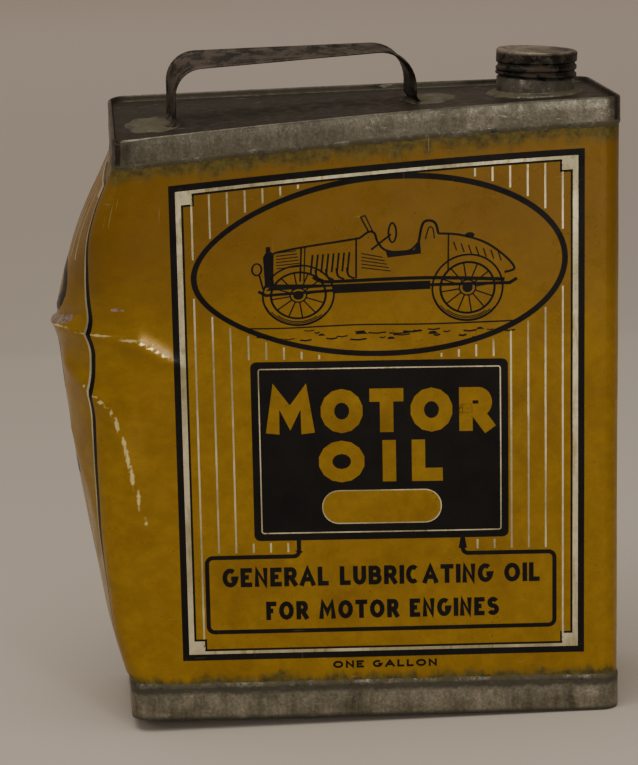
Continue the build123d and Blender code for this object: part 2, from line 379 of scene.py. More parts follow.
def finish_piece(name, bm, body, nodes, finish, bend=True, sharp=35.0, worn=False):
    """Bends a mesh drawn in millimetres, puts it in metres and says what it is."""
    flat = [v.co.copy() for v in bm.verts]
    if bend:
        for vert in bm.verts:
            vert.co = dent(vert.co)
    bmesh.ops.scale(bm, vec=(MM, MM, MM), verts=bm.verts)
    mesh = bpy.data.meshes.new(name)
    bm.to_mesh(mesh)
    bm.free()
    place = mesh.attributes.new("flat", "FLOAT_VECTOR", "POINT")
    place.data.foreach_set("vector", [value for co in flat for value in co])
    # Attributes for wear of the print, and for the lines of painted highlight along the creases
    if worn:
        for word, lines in (("cracked", CRACKED), ("rubbed_and_highlight", RUBBED_GLINT_LINES)):
            wear = mesh.attributes.new(word, "FLOAT", "POINT")
            wear.data.foreach_set("value", [clamp(nearness(co, lines)) for co in flat])
    mesh.polygons.foreach_set("use_smooth", [True] * len(mesh.polygons))
    mesh.set_sharp_from_angle(angle=math.radians(sharp))
    mesh.materials.append(finish)
    piece = bpy.data.objects.new(name, mesh)
    bpy.context.collection.objects.link(piece)
    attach(piece, body)
    if nodes:
        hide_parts(*nodes)


# ---------------------------------------------------------------- finishes


class Finish:
    """One node material, with short calls for the nodes that it needs."""

    def __init__(self, name, metallic=0.0, roughness=0.5, **fixed):
        self.material = bpy.data.materials.new(name)
        self.material.use_nodes = True
        self.tree = self.material.node_tree
        self.shader = self.tree.nodes["Principled BSDF"]
        self.shader.inputs["Metallic"].default_value = metallic
        self.shader.inputs["Roughness"].default_value = roughness
        for socket, value in fixed.items():
            self.shader.inputs[socket.replace("_", " ")].default_value = value

    def add(self, kind, **settings):
        node = self.tree.nodes.new(kind)
        for key, value in settings.items():
            setattr(node, key, value)
        return node

    def link(self, source, target):
        if isinstance(source, (int, float)):
            target.default_value = source
        elif isinstance(source, tuple):
            target.default_value = (*source, 1.0) if len(source) == 3 else source
        else:
            self.tree.links.new(source, target)

    def object_place(self, scale=(1, 1, 1)):
        """Place on the object, in millimetres times scale."""
        where = self.add("ShaderNodeTexCoord")
        mapping = self.add("ShaderNodeMapping")
        mapping.inputs["Scale"].default_value = [1000 * s for s in scale]
        self.link(where.outputs["Object"], mapping.inputs["Vector"])
        return mapping.outputs["Vector"]

    def flat_place(self, scale=(1, 1, 1)):
        """Place on the undamaged can, in millimetres times scale."""
        where = self.add("ShaderNodeAttribute", attribute_name="flat")
        mapping = self.add("ShaderNodeMapping")
        mapping.inputs["Scale"].default_value = scale
        self.link(where.outputs["Vector"], mapping.inputs["Vector"])
        return mapping.outputs["Vector"]

    def attribute(self, name):
        return self.add("ShaderNodeAttribute", attribute_name=name).outputs["Fac"]

    def split(self, place):
        """The three parts of a place."""
        parts = self.add("ShaderNodeSeparateXYZ")
        self.link(place, parts.inputs[0])
        return parts.outputs["X"], parts.outputs["Y"], parts.outputs["Z"]

    def height(self, place):
        return self.split(place)[2]

    def noise(self, place, size, detail=4.0, roughness=0.55, distortion=0.0):
        """Cloudy pattern whose patches are about size across."""
        node = self.add("ShaderNodeTexNoise")
        node.inputs["Scale"].default_value = 1.0 / size
        node.inputs["Detail"].default_value = detail
        node.inputs["Roughness"].default_value = roughness
        node.inputs["Distortion"].default_value = distortion
        self.link(place, node.inputs["Vector"])
        return node.outputs["Fac"]

    def cells(self, place, size):
        """Distance to the nearest of scattered points that are about size apart."""
        node = self.add("ShaderNodeTexVoronoi")
        node.inputs["Scale"].default_value = 1.0 / size
        self.link(place, node.inputs["Vector"])
        return node.outputs["Distance"]

    def ramp(self, value, *stops):
        """Grey or colour steps: (position, level) or (position, (r, g, b))."""
        node = self.add("ShaderNodeValToRGB")
        elements = node.color_ramp.elements
        while len(elements) < len(stops):
            elements.new(0.5)
        for element, (position, level) in zip(elements, stops):
            element.position = position
            element.color = (*level, 1) if isinstance(level, tuple) else (level, level, level, 1)
        self.link(value, node.inputs["Fac"])
        return node.outputs["Color"]

    def band(self, value, low, high, from_level=0.0, to_level=1.0):
        """Smooth change from one level to another as a value goes from low to high."""
        node = self.add("ShaderNodeMapRange", interpolation_type="SMOOTHSTEP")
        self.link(value, node.inputs["Value"])
        node.inputs["From Min"].default_value = low
        node.inputs["From Max"].default_value = high
        node.inputs["To Min"].default_value = from_level
        node.inputs["To Max"].default_value = to_level
        return node.outputs["Result"]

    def calculate(self, operation, a, b=0.0, limit=False):
        node = self.add("ShaderNodeMath", operation=operation, use_clamp=limit)
        self.link(a, node.inputs[0])
        self.link(b, node.inputs[1])
        return node.outputs[0]

    def plus(self, a, b, limit=False):
        return self.calculate("ADD", a, b, limit)

    def minus(self, a, b, limit=False):
        return self.calculate("SUBTRACT", a, b, limit)

    def times(self, a, b):
        return self.calculate("MULTIPLY", a, b)

    def larger(self, a, b):
        return self.calculate("MAXIMUM", a, b)

    def without_sign(self, a):
        return self.calculate("ABSOLUTE", a)

    def mix(self, share, a, b, blend="MIX"):
        node = self.add("ShaderNodeMix", data_type="RGBA", blend_type=blend)
        self.link(share, node.inputs["Factor"])
        self.link(a, node.inputs[6])
        self.link(b, node.inputs[7])
        return node.outputs[2]

    def bump(self, height, depth):
        """Surface relief of about depth millimetres."""
        node = self.add("ShaderNodeBump")
        node.inputs["Strength"].default_value = 1.0
        node.inputs["Distance"].default_value = depth * MM
        self.link(height, node.inputs["Height"])
        return node.outputs["Normal"]

    def to_shader(self, **sockets):
        for name, source in sockets.items():
            self.link(source, self.shader.inputs[name.replace("_", " ")])
        return self.material


def print_stains(finish, flat):
    """Shares of the dark stain that spreads over the print from the bottom seam and from the top seam."""
    height = finish.height(flat)
    ragged = finish.noise(flat, 9.0, 6.0, 0.62)
    streaks = finish.noise(finish.flat_place((1, 1, 0.16)), 5.0, 4.0, 0.6)
    reach = finish.plus(finish.times(ragged, 12.0), finish.times(streaks, 10.0))
    low = finish.minus(height, finish.plus(reach, 6.4))
    high = finish.minus(finish.plus(height, reach), 250.0)
    return finish.band(low, -1.5, 3.0, 1.0, 0.0), finish.band(high, -3.0, 3.5)


def print_specks(finish, flat):
    """Share of scattered dark specks, thick in some places and absent in others."""
    specks = finish.band(finish.cells(flat, 3.1), 0.04, 0.13, 1.0, 0.0)
    sparse = finish.band(finish.noise(flat, 14.0, 2.0), 0.52, 0.66)
    fine = finish.band(finish.noise(flat, 0.55, 2.0), 0.68, 0.74)
    return finish.larger(finish.times(specks, sparse), finish.times(fine, 0.7))


def print_scratches(finish, flat):
    """Share of fine scratches, level and upright, mostly near the ends."""
    level = finish.band(finish.noise(finish.flat_place((0.12, 0.12, 1.9)), 1.6, 3.0), 0.705, 0.73)
    upright = finish.band(finish.noise(finish.flat_place((2.2, 2.2, 0.07)), 1.5, 3.0), 0.70, 0.73)
    near_ends = finish.band(finish.without_sign(finish.minus(finish.height(flat), HEIGHT / 2)), 60, 112)
    return finish.times(finish.larger(level, upright), near_ends)


def make_yellow_print():
    """Glossy old lithographed yellow, browner towards the top, stained at the seams, with the tin showing at the
    folds and a painted highlight along the two sharp creases.
    """
    finish = Finish("yellow_print", 0.0, 0.3, Coat_Weight=0.18, Coat_Roughness=0.12, Specular_IOR_Level=0.2)
    flat = finish.flat_place()
    bottom_stain, top_stain = print_stains(finish, flat)
    scratches = print_scratches(finish, flat)
    cloud = finish.noise(flat, 46.0, 5.0, 0.6)
    colour = finish.ramp(
        cloud, (0.3, (0.215, 0.112, 0.0030)), (0.5, (0.300, 0.168, 0.0038)), (0.7, (0.255, 0.138, 0.0032))
    )
    mottle = finish.band(finish.noise(flat, 4.5, 6.0, 0.65), 0.35, 0.75, 0.86, 1.06)
    colour = finish.mix(1.0, colour, mottle, "MULTIPLY")
    # Darker and browner towards the top, from 140 mm up
    browner = finish.times(finish.band(finish.height(flat), 140, 215), 0.72)
    colour = finish.mix(browner, colour, (0.150, 0.072, 0.003))
    stain_tint = finish.ramp(
        finish.noise(flat, 3.5, 6.0, 0.7), (0.35, (0.024, 0.023, 0.006)), (0.62, (0.115, 0.095, 0.018))
    )
    dark_edges = finish.larger(finish.times(bottom_stain, 0.9), finish.times(top_stain, 0.85))
    colour = finish.mix(dark_edges, colour, stain_tint)
    colour = finish.mix(finish.times(print_specks(finish, flat), 0.8), colour, (0.035, 0.022, 0.008))
    colour = finish.mix(finish.times(scratches, 0.6), colour, (0.34, 0.26, 0.13))
    ragged = finish.noise(flat, 1.8, 5.0, 0.6)
    # Painted highlight: bright lines along the two sharp creases stand in for their glints, over print rubbed thin
    # there
    rubbed_and_highlight = finish.plus(finish.attribute("rubbed_and_highlight"), finish.times(ragged, 0.6))
    rubbed_and_highlight = finish.band(rubbed_and_highlight, 0.92, 1.16)
    colour = finish.mix(finish.times(rubbed_and_highlight, 0.8), colour, (0.90, 0.78, 0.36))
    cracked = finish.plus(finish.attribute("cracked"), finish.times(ragged, 0.6))
    cracked = finish.band(cracked, 0.72, 0.86)
    bare = finish.ramp(
        finish.noise(flat, 1.4, 4.0), (0.35, (0.16, 0.10, 0.07)), (0.65, (0.46, 0.34, 0.26))
    )
    colour = finish.mix(cracked, colour, bare)
    metallic = finish.plus(0.2, finish.times(finish.plus(cracked, rubbed_and_highlight), 0.4), True)
    rough = finish.band(finish.noise(flat, 11.0, 6.0, 0.65), 0.3, 0.7, 0.24, 0.42)
    rough = finish.plus(rough, finish.times(dark_edges, 0.25), True)
    relief = finish.plus(finish.noise(flat, 2.4, 6.0, 0.6), finish.times(scratches, 0.4))
    return finish.to_shader(
        Base_Color=colour, Metallic=metallic, Roughness=rough, Normal=finish.bump(relief, 0.05)
    )


def make_black_ink():
    """Black ink, rubbed off here and there to the yellow under it."""
    finish = Finish("black_ink", 0.0, 0.3, Coat_Weight=0.08, Coat_Roughness=0.16, Specular_IOR_Level=0.12)
    flat = finish.flat_place()
    scratches = print_scratches(finish, flat)
    colour = finish.ramp(
        finish.noise(flat, 20.0, 5.0), (0.3, (0.0032, 0.0032, 0.0036)), (0.7, (0.0075, 0.0068, 0.006))
    )
    worn = finish.band(finish.noise(flat, 0.8, 4.0, 0.7), 0.70, 0.76)
    worn = finish.times(worn, finish.band(finish.noise(flat, 16.0, 3.0), 0.45, 0.65))
    colour = finish.mix(finish.times(worn, 0.8), colour, (0.19, 0.088, 0.006))
    colour = finish.mix(finish.times(scratches, 0.35), colour, (0.2, 0.15, 0.07))
    rough = finish.band(finish.noise(flat, 9.0, 6.0), 0.3, 0.7, 0.22, 0.4)
    return finish.to_shader(
        Base_Color=colour, Roughness=rough, Normal=finish.bump(finish.noise(flat, 2.4, 6.0, 0.6), 0.05)
    )


def make_silver_ink():
    """Lines left as bare tin under the varnish."""
    finish = Finish("bare_line", 0.85, 0.3)
    flat = finish.flat_place()
    uneven = finish.noise(finish.flat_place((1, 1, 0.12)), 2.2, 4.0, 0.6)
    colour = finish.ramp(uneven, (0.25, (0.34, 0.25, 0.08)), (0.46, (0.72, 0.66, 0.44)))
    dull = finish.band(finish.noise(finish.flat_place((1, 1, 0.6)), 34.0, 3.0), 0.42, 0.6, 0.0, 0.62)
    colour = finish.mix(dull, colour, (0.24, 0.22, 0.11))
    rough = finish.band(finish.noise(flat, 3.0, 4.0), 0.3, 0.7, 0.22, 0.45)
    return finish.to_shader(Base_Color=colour, Roughness=rough)


# Pale dust lying on the cap
DUST = (0.24, 0.20, 0.145)


def make_tin(name, light, dark, brown, brown_share, roughness, patch, dusty_from=None):
    """Old tinplate: grey with dark patches and brown spots, and dust above a height."""
    finish = Finish(name, 0.85, roughness)
    flat = finish.object_place()
    cloud = finish.noise(flat, patch, 7.0, 0.65, 0.4)
    middle = tuple((a + b) / 2 for a, b in zip(light, dark))
    colour = finish.ramp(cloud, (0.34, dark), (0.5, middle), (0.66, light))
    fine = finish.band(finish.noise(flat, 1.3, 5.0, 0.7), 0.32, 0.72, 0.72, 1.2)
    colour = finish.mix(1.0, colour, fine, "MULTIPLY")
    rust = finish.plus(finish.noise(flat, 7.0, 6.0, 0.7), finish.times(finish.noise(flat, 1.1, 3.0), 0.3))
    rust = finish.band(rust, 0.98 - brown_share, 1.08 - brown_share)
    colour = finish.mix(finish.times(rust, 0.85), colour, brown)
    if dusty_from:
        dust = finish.times(finish.band(finish.height(flat), dusty_from, dusty_from + 1.2), 0.6)
        colour = finish.mix(dust, colour, DUST)
    metallic = finish.minus(0.85, finish.times(rust, 0.7), True)
    rough = finish.band(finish.noise(flat, 5.0, 6.0, 0.7), 0.3, 0.7, roughness - 0.1, roughness + 0.16)
    rough = finish.plus(rough, finish.times(rust, 0.25), True)
    relief = finish.plus(finish.noise(flat, 1.6, 7.0, 0.65), finish.times(rust, 0.25))
    return finish.to_shader(Base_Color=colour, Metallic=metallic, Roughness=rough, Normal=finish.bump(relief, 0.12))


def make_end_tin():
    """Tarnished tinplate of the two ends: streaked skirts stained at their open edges, a painted shade along the
    foot of the bottom end, light streaks that are partly painted highlight, and the top end painted darker with a
    near-black panel as a painted dark reflection.
    """
    finish = Finish("end_tin", 0.85, 0.4)
    flat = finish.flat_place()
    across, deep, height = finish.split(flat)
    cloud = finish.noise(flat, 17.0, 7.0, 0.66, 0.4)
    streak = finish.noise(finish.flat_place((1, 1, 0.14)), 3.4, 5.0, 0.65)
    tone = finish.plus(finish.times(cloud, 0.6), finish.times(streak, 0.4))
    colour = finish.ramp(
        tone, (0.36, (0.105, 0.098, 0.070)), (0.5, (0.22, 0.205, 0.155)), (0.64, (0.36, 0.33, 0.26))
    )
    fine = finish.band(finish.noise(flat, 1.2, 5.0, 0.7), 0.32, 0.72, 0.72, 1.2)
    colour = finish.mix(1.0, colour, fine, "MULTIPLY")
    reach = finish.times(streak, 5.0)
    bottom_edge = finish.band(finish.plus(height, reach), 12.6, 14.8)
    bottom_edge = finish.times(bottom_edge, finish.band(height, 15, 16, 1.0, 0.0))
    top_edge = finish.band(finish.minus(height, reach), 242.6, 244.6, 1.0, 0.0)
    top_edge = finish.times(top_edge, finish.band(height, 240, 241))
    # Painted shade: the foot of the bottom end is darkened where its rounded lower edge lies in shadow
    foot = finish.band(height, 0.6, 2.4, 1.0, 0.0)
    # Dark edges: the stains at the skirts' open edges, together with the painted shade at the foot
    dark_edges = finish.larger(finish.larger(bottom_edge, finish.times(top_edge, 0.7)), foot)
    colour = finish.mix(finish.times(dark_edges, 0.88), colour, (0.030, 0.029, 0.018))
    # Painted dark reflection: the recessed top panel is painted near black in patches, a little more at the front
    inside = finish.band(finish.without_sign(across), 100.0, 100.4, 1.0, 0.0)
    inside = finish.times(inside, finish.band(finish.without_sign(deep), 37.1, 37.5, 1.0, 0.0))
    on_panel = finish.times(finish.band(height, 240.0, 241.0), inside)
    near = finish.band(finish.plus(deep, finish.times(cloud, 90.0)), 20, 52, 1.0, 0.88)
    colour = finish.mix(finish.times(near, on_panel), colour, (0.024, 0.022, 0.016))
    # Painted dark reflection: the whole top end is painted darker than the bottom end
    painted_dark_reflection = finish.times(finish.band(height, 240.0, 241.0), 0.60)
    colour = finish.mix(painted_dark_reflection, colour, (0.050, 0.042, 0.030))
    brown = finish.band(finish.noise(flat, 7.0, 6.0, 0.7), 0.60, 0.70)
    colour = finish.mix(finish.times(brown, 0.6), colour, (0.075, 0.058, 0.030))
    # Light streaks: rubbed metal, partly a painted highlight that lightens the ends
    rubbed_and_highlight = finish.band(finish.noise(finish.flat_place((0.25, 1, 1)), 2.6, 5.0, 0.7), 0.62, 0.70)
    colour = finish.mix(finish.times(rubbed_and_highlight, 0.35), colour, (0.46, 0.42, 0.33))
    rough = finish.band(finish.noise(flat, 5.0, 6.0, 0.7), 0.3, 0.7, 0.28, 0.52)
    rough = finish.plus(rough, finish.times(on_panel, 0.14), True)
    metallic = finish.minus(0.85, finish.times(finish.larger(brown, dark_edges), 0.5), True)
    relief = finish.plus(finish.noise(flat, 1.6, 7.0, 0.65), finish.times(rubbed_and_highlight, 0.2))
    return finish.to_shader(Base_Color=colour, Metallic=metallic, Roughness=rough, Normal=finish.bump(relief, 0.12))


def make_cork():
    """Pressed cork, soaked dark in places."""
    finish = Finish("old_cork", 0.0, 0.85)
    place = finish.object_place()
    grain = finish.cells(place, 1.4)
    colour = finish.ramp(grain, (0.1, (0.10, 0.05, 0.025)), (0.5, (0.32, 0.19, 0.09)))
    colour = finish.mix(finish.band(finish.noise(place, 6.0, 4.0), 0.5, 0.7), colour, (0.05, 0.03, 0.018))
    return finish.to_shader(Base_Color=colour, Normal=finish.bump(grain, 0.2))


yellow_print = make_yellow_print()
black_ink = make_black_ink()
silver_ink = make_silver_ink()
end_tin = make_end_tin()
# Tins: name, light and dark tone, rust and how much of it, roughness, size of the patches
old_solder = make_tin("old_solder", (0.34, 0.32, 0.29), (0.10, 0.095, 0.085), (0.12, 0.08, 0.045), 0.36, 0.42, 8)
seam_solder = make_tin(
    "seam_solder", (0.20, 0.185, 0.145), (0.055, 0.052, 0.038), (0.06, 0.05, 0.02), 0.42, 0.46, 6
)
spout_tin = make_tin("spout_tin", (0.17, 0.155, 0.12), (0.035, 0.032, 0.025), (0.045, 0.036, 0.02), 0.40, 0.40, 9)
cap_tin = make_tin(
    "cap_tin", (0.050, 0.044, 0.034), (0.014, 0.013, 0.011), (0.045, 0.028, 0.016), 0.38, 0.42, 10, dusty_from=269.4
)
handle_tin = make_tin(
    "handle_tin", (0.050, 0.043, 0.034), (0.015, 0.013, 0.010), (0.05, 0.034, 0.020), 0.38, 0.40, 14
)
cork = make_cork()


# ---------------------------------------------------------------- body sheet

wall = outline_rows([(BODY_INSET, 1.0), (BODY_INSET, HEIGHT - 1.2)])
cut_grid(wall, X_CUTS, Y_CUTS, Z_CUTS)
thicken(wall, TIN)
finish_piece("body_wall", wall, "can", ["body_sheet"], yellow_print, worn=True)


# ---------------------------------------------------------------- the print

# Front design: heights above the base and places across, seen from in front
BORDER = (-80.0, 25.5, 86.0, 236.0)
BORDER_LINE = 2.6
SILVER_SIDE = 2.2
SILVER_END = 1.3
THIN_LINE = 0.85
STEP = 4.3
OVAL = (3.5, 192.1, 75.7, 39.9)
OVAL_LINE = 2.3
PANEL = (-49.5, 75.7, 54.7, 150.4)
PILL = (-21.7, 82.3, 27.2, 96.5)
PILL_LINE = 0.45
BOX = (-70.0, 36.6, 74.5, 69.8)
BOX_LINE = 1.7
NECK_LINES = (-31.5, 35.7)
STRIPE = 0.75
STRIPE_PITCH = 7.06
STRIPE_MIDDLE = 3.0

# Narrow sides
SIDE_BORDER = (-30.5, 24.0, 30.5, 238.0)
SIDE_STRIPES = ((30.0, 96.0), (200.0, 232.0))
SIDE_LETTERS = (("O", 184.0, 13.5), ("I", 149.0, 4.2), ("L", 114.0, 10.5))
SIDE_LETTER_HALF = 13.0


def box_face(bm, box, radius=0.0, segments=5):
    """A filled rectangle given by its left, bottom, right and top."""
    left, bottom, right, top = box
    place = Matrix.Translation(((left + right) / 2, (bottom + top) / 2, 0))
    return rounded_face(bm, place @ Matrix.Diagonal((right - left, top - bottom, 1, 1)), radius, segments)


def hollow(bm, face, line):
    """Keeps only a line of even width round the edge of a face."""
    bmesh.ops.inset_region(bm, faces=[face], thickness=line, use_boundary=True, use_even_offset=True)
    bmesh.ops.delete(bm, geom=[face], context="FACES")


def stepped_loop(bm, box, step):
    """Rectangle of edges whose corners are stepped in, or plain when step is 0."""
    left, bottom, right, top = box
    points = []
    for x, y, way_x, way_y, first in (
        (left, bottom, 1, 1, False),
        (right, bottom, -1, 1, True),
        (right, top, -1, -1, False),
        (left, top, 1, -1, True),
    ):
        along_y = (x, y + way_y * STEP)
        along_x = (x + way_x * STEP, y)
        middle = (x + way_x * step, y + way_y * step)
        points += [along_x, middle, along_y] if first else [along_y, middle, along_x]
    verts = [bm.verts.new((x, y, 0)) for x, y in points]
    return [bm.edges.new((a, b)) for a, b in zip(verts, verts[1:] + verts[:1])]


def frame_between(bm, outer, outer_step, inner, inner_step):
    edges = stepped_loop(bm, outer, outer_step) + stepped_loop(bm, inner, inner_step)
    bmesh.ops.bridge_loops(bm, edges=edges)


def shrink(box, side, end):
    left, bottom, right, top = box
    return (left + side, bottom + end, right - side, top - end)


def ellipse_face(bm, x, y, half_width, half_height, segments=96):
    place = Matrix.Translation((x, y, 0)) @ Matrix.Diagonal((half_width, half_height, 1, 1))
    before = set(bm.faces)
    bmesh.ops.create_circle(bm, cap_ends=True, segments=segments, radius=1, matrix=place)
    return next(f for f in bm.faces if f not in before)


def ring(bm, x, y, radius, line, squeeze=1.0, segments=48):
    hollow(bm, ellipse_face(bm, x, y, radius * squeeze, radius, segments), line)


def stroke(bm, points, line, closed=False, level=0.0):
    """A drawn line of even width through points; level keeps crossing strokes apart."""
    points = [Vector((x, y, level)) for x, y in points]
    count = len(points)
    pairs = []
    for k, point in enumerate(points):
        back = points[k - 1] if k > 0 or closed else point
        ahead = points[(k + 1) % count] if k < count - 1 or closed else point
        way_in = (point - back).normalized() if back is not point else (ahead - point).normalized()
        way_out = (ahead - point).normalized() if ahead is not point else way_in
        way = (way_in + way_out).normalized() if (way_in + way_out).length > 0.01 else way_in
        across = Vector((-way.y, way.x, 0))
        stretch = 1 / max(0.5, across.dot(Vector((-way_in.y, way_in.x, 0))))
        half = across * (line / 2 * stretch)
        pairs.append((bm.verts.new(point + half), bm.verts.new(point - half)))
    spans = list(zip(pairs, pairs[1:])) + ([(pairs[-1], pairs[0])] if closed else [])
    for (a_up, a_down), (b_up, b_down) in spans:
        bm.faces.new((a_up, a_down, b_down, b_up))


def filled(bm, points):
    face = bm.faces.new([bm.verts.new((x, y, 0)) for x, y in points])
    if face.normal.z < 0:
        face.normal_flip()
    return face


def smooth_line(points, steps=6):
    """Points along a smooth line through the given ones."""

    def between(a, b, c, d, t):
        return 0.5 * (2 * b + (c - a) * t + (2 * a - 5 * b + 4 * c - d) * t * t + (3 * b - a - 3 * c + d) * t**3)

    ends = [points[0]] + list(points) + [points[-1]]
    line = []
    for four in zip(ends, ends[1:], ends[2:], ends[3:]):
        line += [tuple(between(*values, k / steps) for values in zip(*four)) for k in range(steps)]
    return line + [points[-1]]


def oval_bend(x, y, half_width, half_height, start, end, count=14):
    """Points along part of an oval, between two angles."""
    angles = [math.radians(start + (end - start) * k / count) for k in range(count + 1)]
    return [(x + half_width * math.cos(a), y + half_height * math.sin(a)) for a in angles]


def arc(x, y, radius, start, end, count):
    return oval_bend(x, y, radius, radius, start, end, count)


# Centre lines of plain capitals, in shares of each letter's box
CAPITALS = {
    "A": [[(0, 0), (0.5, 1), (1, 0)], [(0.2, 0.3), (0.8, 0.3)]],
    "B": [
        [(0, 0), (0, 1), (0.5, 1)] + oval_bend(0.56, 0.76, 0.34, 0.24, 90, -90) + [(0, 0.52)],
        [(0.5, 0.52)] + oval_bend(0.6, 0.26, 0.4, 0.26, 90, -90) + [(0, 0)],
    ],
    "C": [oval_bend(0.5, 0.5, 0.5, 0.5, 52, 308)],
    "E": [[(1, 1), (0, 1), (0, 0), (1, 0)], [(0, 0.52), (0.86, 0.52)]],
    "F": [[(1, 1), (0, 1), (0, 0)], [(0, 0.5), (0.84, 0.5)]],
    "G": [oval_bend(0.5, 0.5, 0.5, 0.5, 52, 335) + [(1, 0.44), (0.58, 0.44)]],
    "I": [[(0.5, 0), (0.5, 1)]],
    "L": [[(0, 1), (0, 0), (1, 0)]],
    "M": [[(0, 0), (0.1, 1), (0.5, 0.3), (0.9, 1), (1, 0)]],
    "N": [[(0, 0), (0, 1), (1, 0), (1, 1)]],
    "O": [oval_bend(0.5, 0.5, 0.5, 0.5, 90, 450)[:-1]],
    "R": [
        [(0, 0), (0, 1), (0.5, 1)] + oval_bend(0.6, 0.73, 0.34, 0.27, 90, -90) + [(0, 0.46)],
        [(0.5, 0.46), (1, 0)],
    ],
    "S": [oval_bend(0.5, 0.76, 0.46, 0.24, 25, 270) + oval_bend(0.5, 0.26, 0.5, 0.26, 90, -155)[1:]],
    "T": [[(0, 1), (1, 1)], [(0.5, 1), (0.5, 0)]],
    "U": [[(0, 1)] + oval_bend(0.5, 0.4, 0.5, 0.4, 180, 360) + [(1, 1)]],
    " ": [],
}
LETTER_WIDTHS = {
    "M": 1.16, "O": 1.04, "G": 1.0, "A": 1.0, "C": 0.92, "E": 0.74, "F": 0.72, "L": 0.7, " ": 0.4, "I": 0.26
}
PLAIN_WIDTH = 0.84


def draw_words(bm, words, box, line, gap=0.16):
    """Fat even-line capitals that fill a box; open ends that touch the box are carried out to it."""
    left, bottom, right, top = box
    widths = [LETTER_WIDTHS.get(letter, PLAIN_WIDTH) for letter in words]
    unit = (right - left) / (sum(widths) + gap * (len(words) - 1))
    half = line / 2
    for letter, width in zip(words, widths):
        wide = max(unit * width - line, 0.01)
        for level, part in enumerate(CAPITALS[letter]):
            points = [Vector((left + half + x * wide, bottom + half + y * (top - bottom - line))) for x, y in part]
            if letter != "O":
                for end, beside, share in ((0, 1, part[0]), (-1, -2, part[-1])):
                    if 0 in share or 1 in share:
                        points[end] = points[end] + (points[end] - points[beside]).normalized() * half * 0.98
            stroke(bm, [tuple(p) for p in points], line, closed=letter == "O", level=0.006 * level)
        left += unit * (width + gap)


def stripe_spans(x):
    """Heights between which a pinstripe shows, clear of the oval, the panel and the box."""
    left, bottom, right, top = shrink(BORDER, 6, 5)
    hidden = []
    reach = (x - OVAL[0]) / (OVAL[2] + 1.2)
    if abs(reach) < 1:
        half = (OVAL[3] + 1.2) * math.sqrt(1 - reach * reach)
        hidden.append((OVAL[1] - half, OVAL[1] + half))
    if PANEL[0] - 1 < x < PANEL[2] + 1:
        hidden.append((PANEL[1] - 1, PANEL[3] + 1))
    if BOX[0] - 1 < x < BOX[2] + 1:
        hidden.append((bottom - 1, BOX[3] + 1))
    if NECK_LINES[0] - 1.5 < x < NECK_LINES[1] + 1.5:
        hidden.append((BOX[1], PANEL[1]))
    spans = [(bottom, top)]
    for low, high in hidden:
        cut = []
        for a, b in spans:
            if low > a:
                cut.append((a, min(b, low)))
            if high < b:
                cut.append((max(a, high), b))
        spans = [(a, b) for a, b in cut if b - a > 1.5]
    return spans


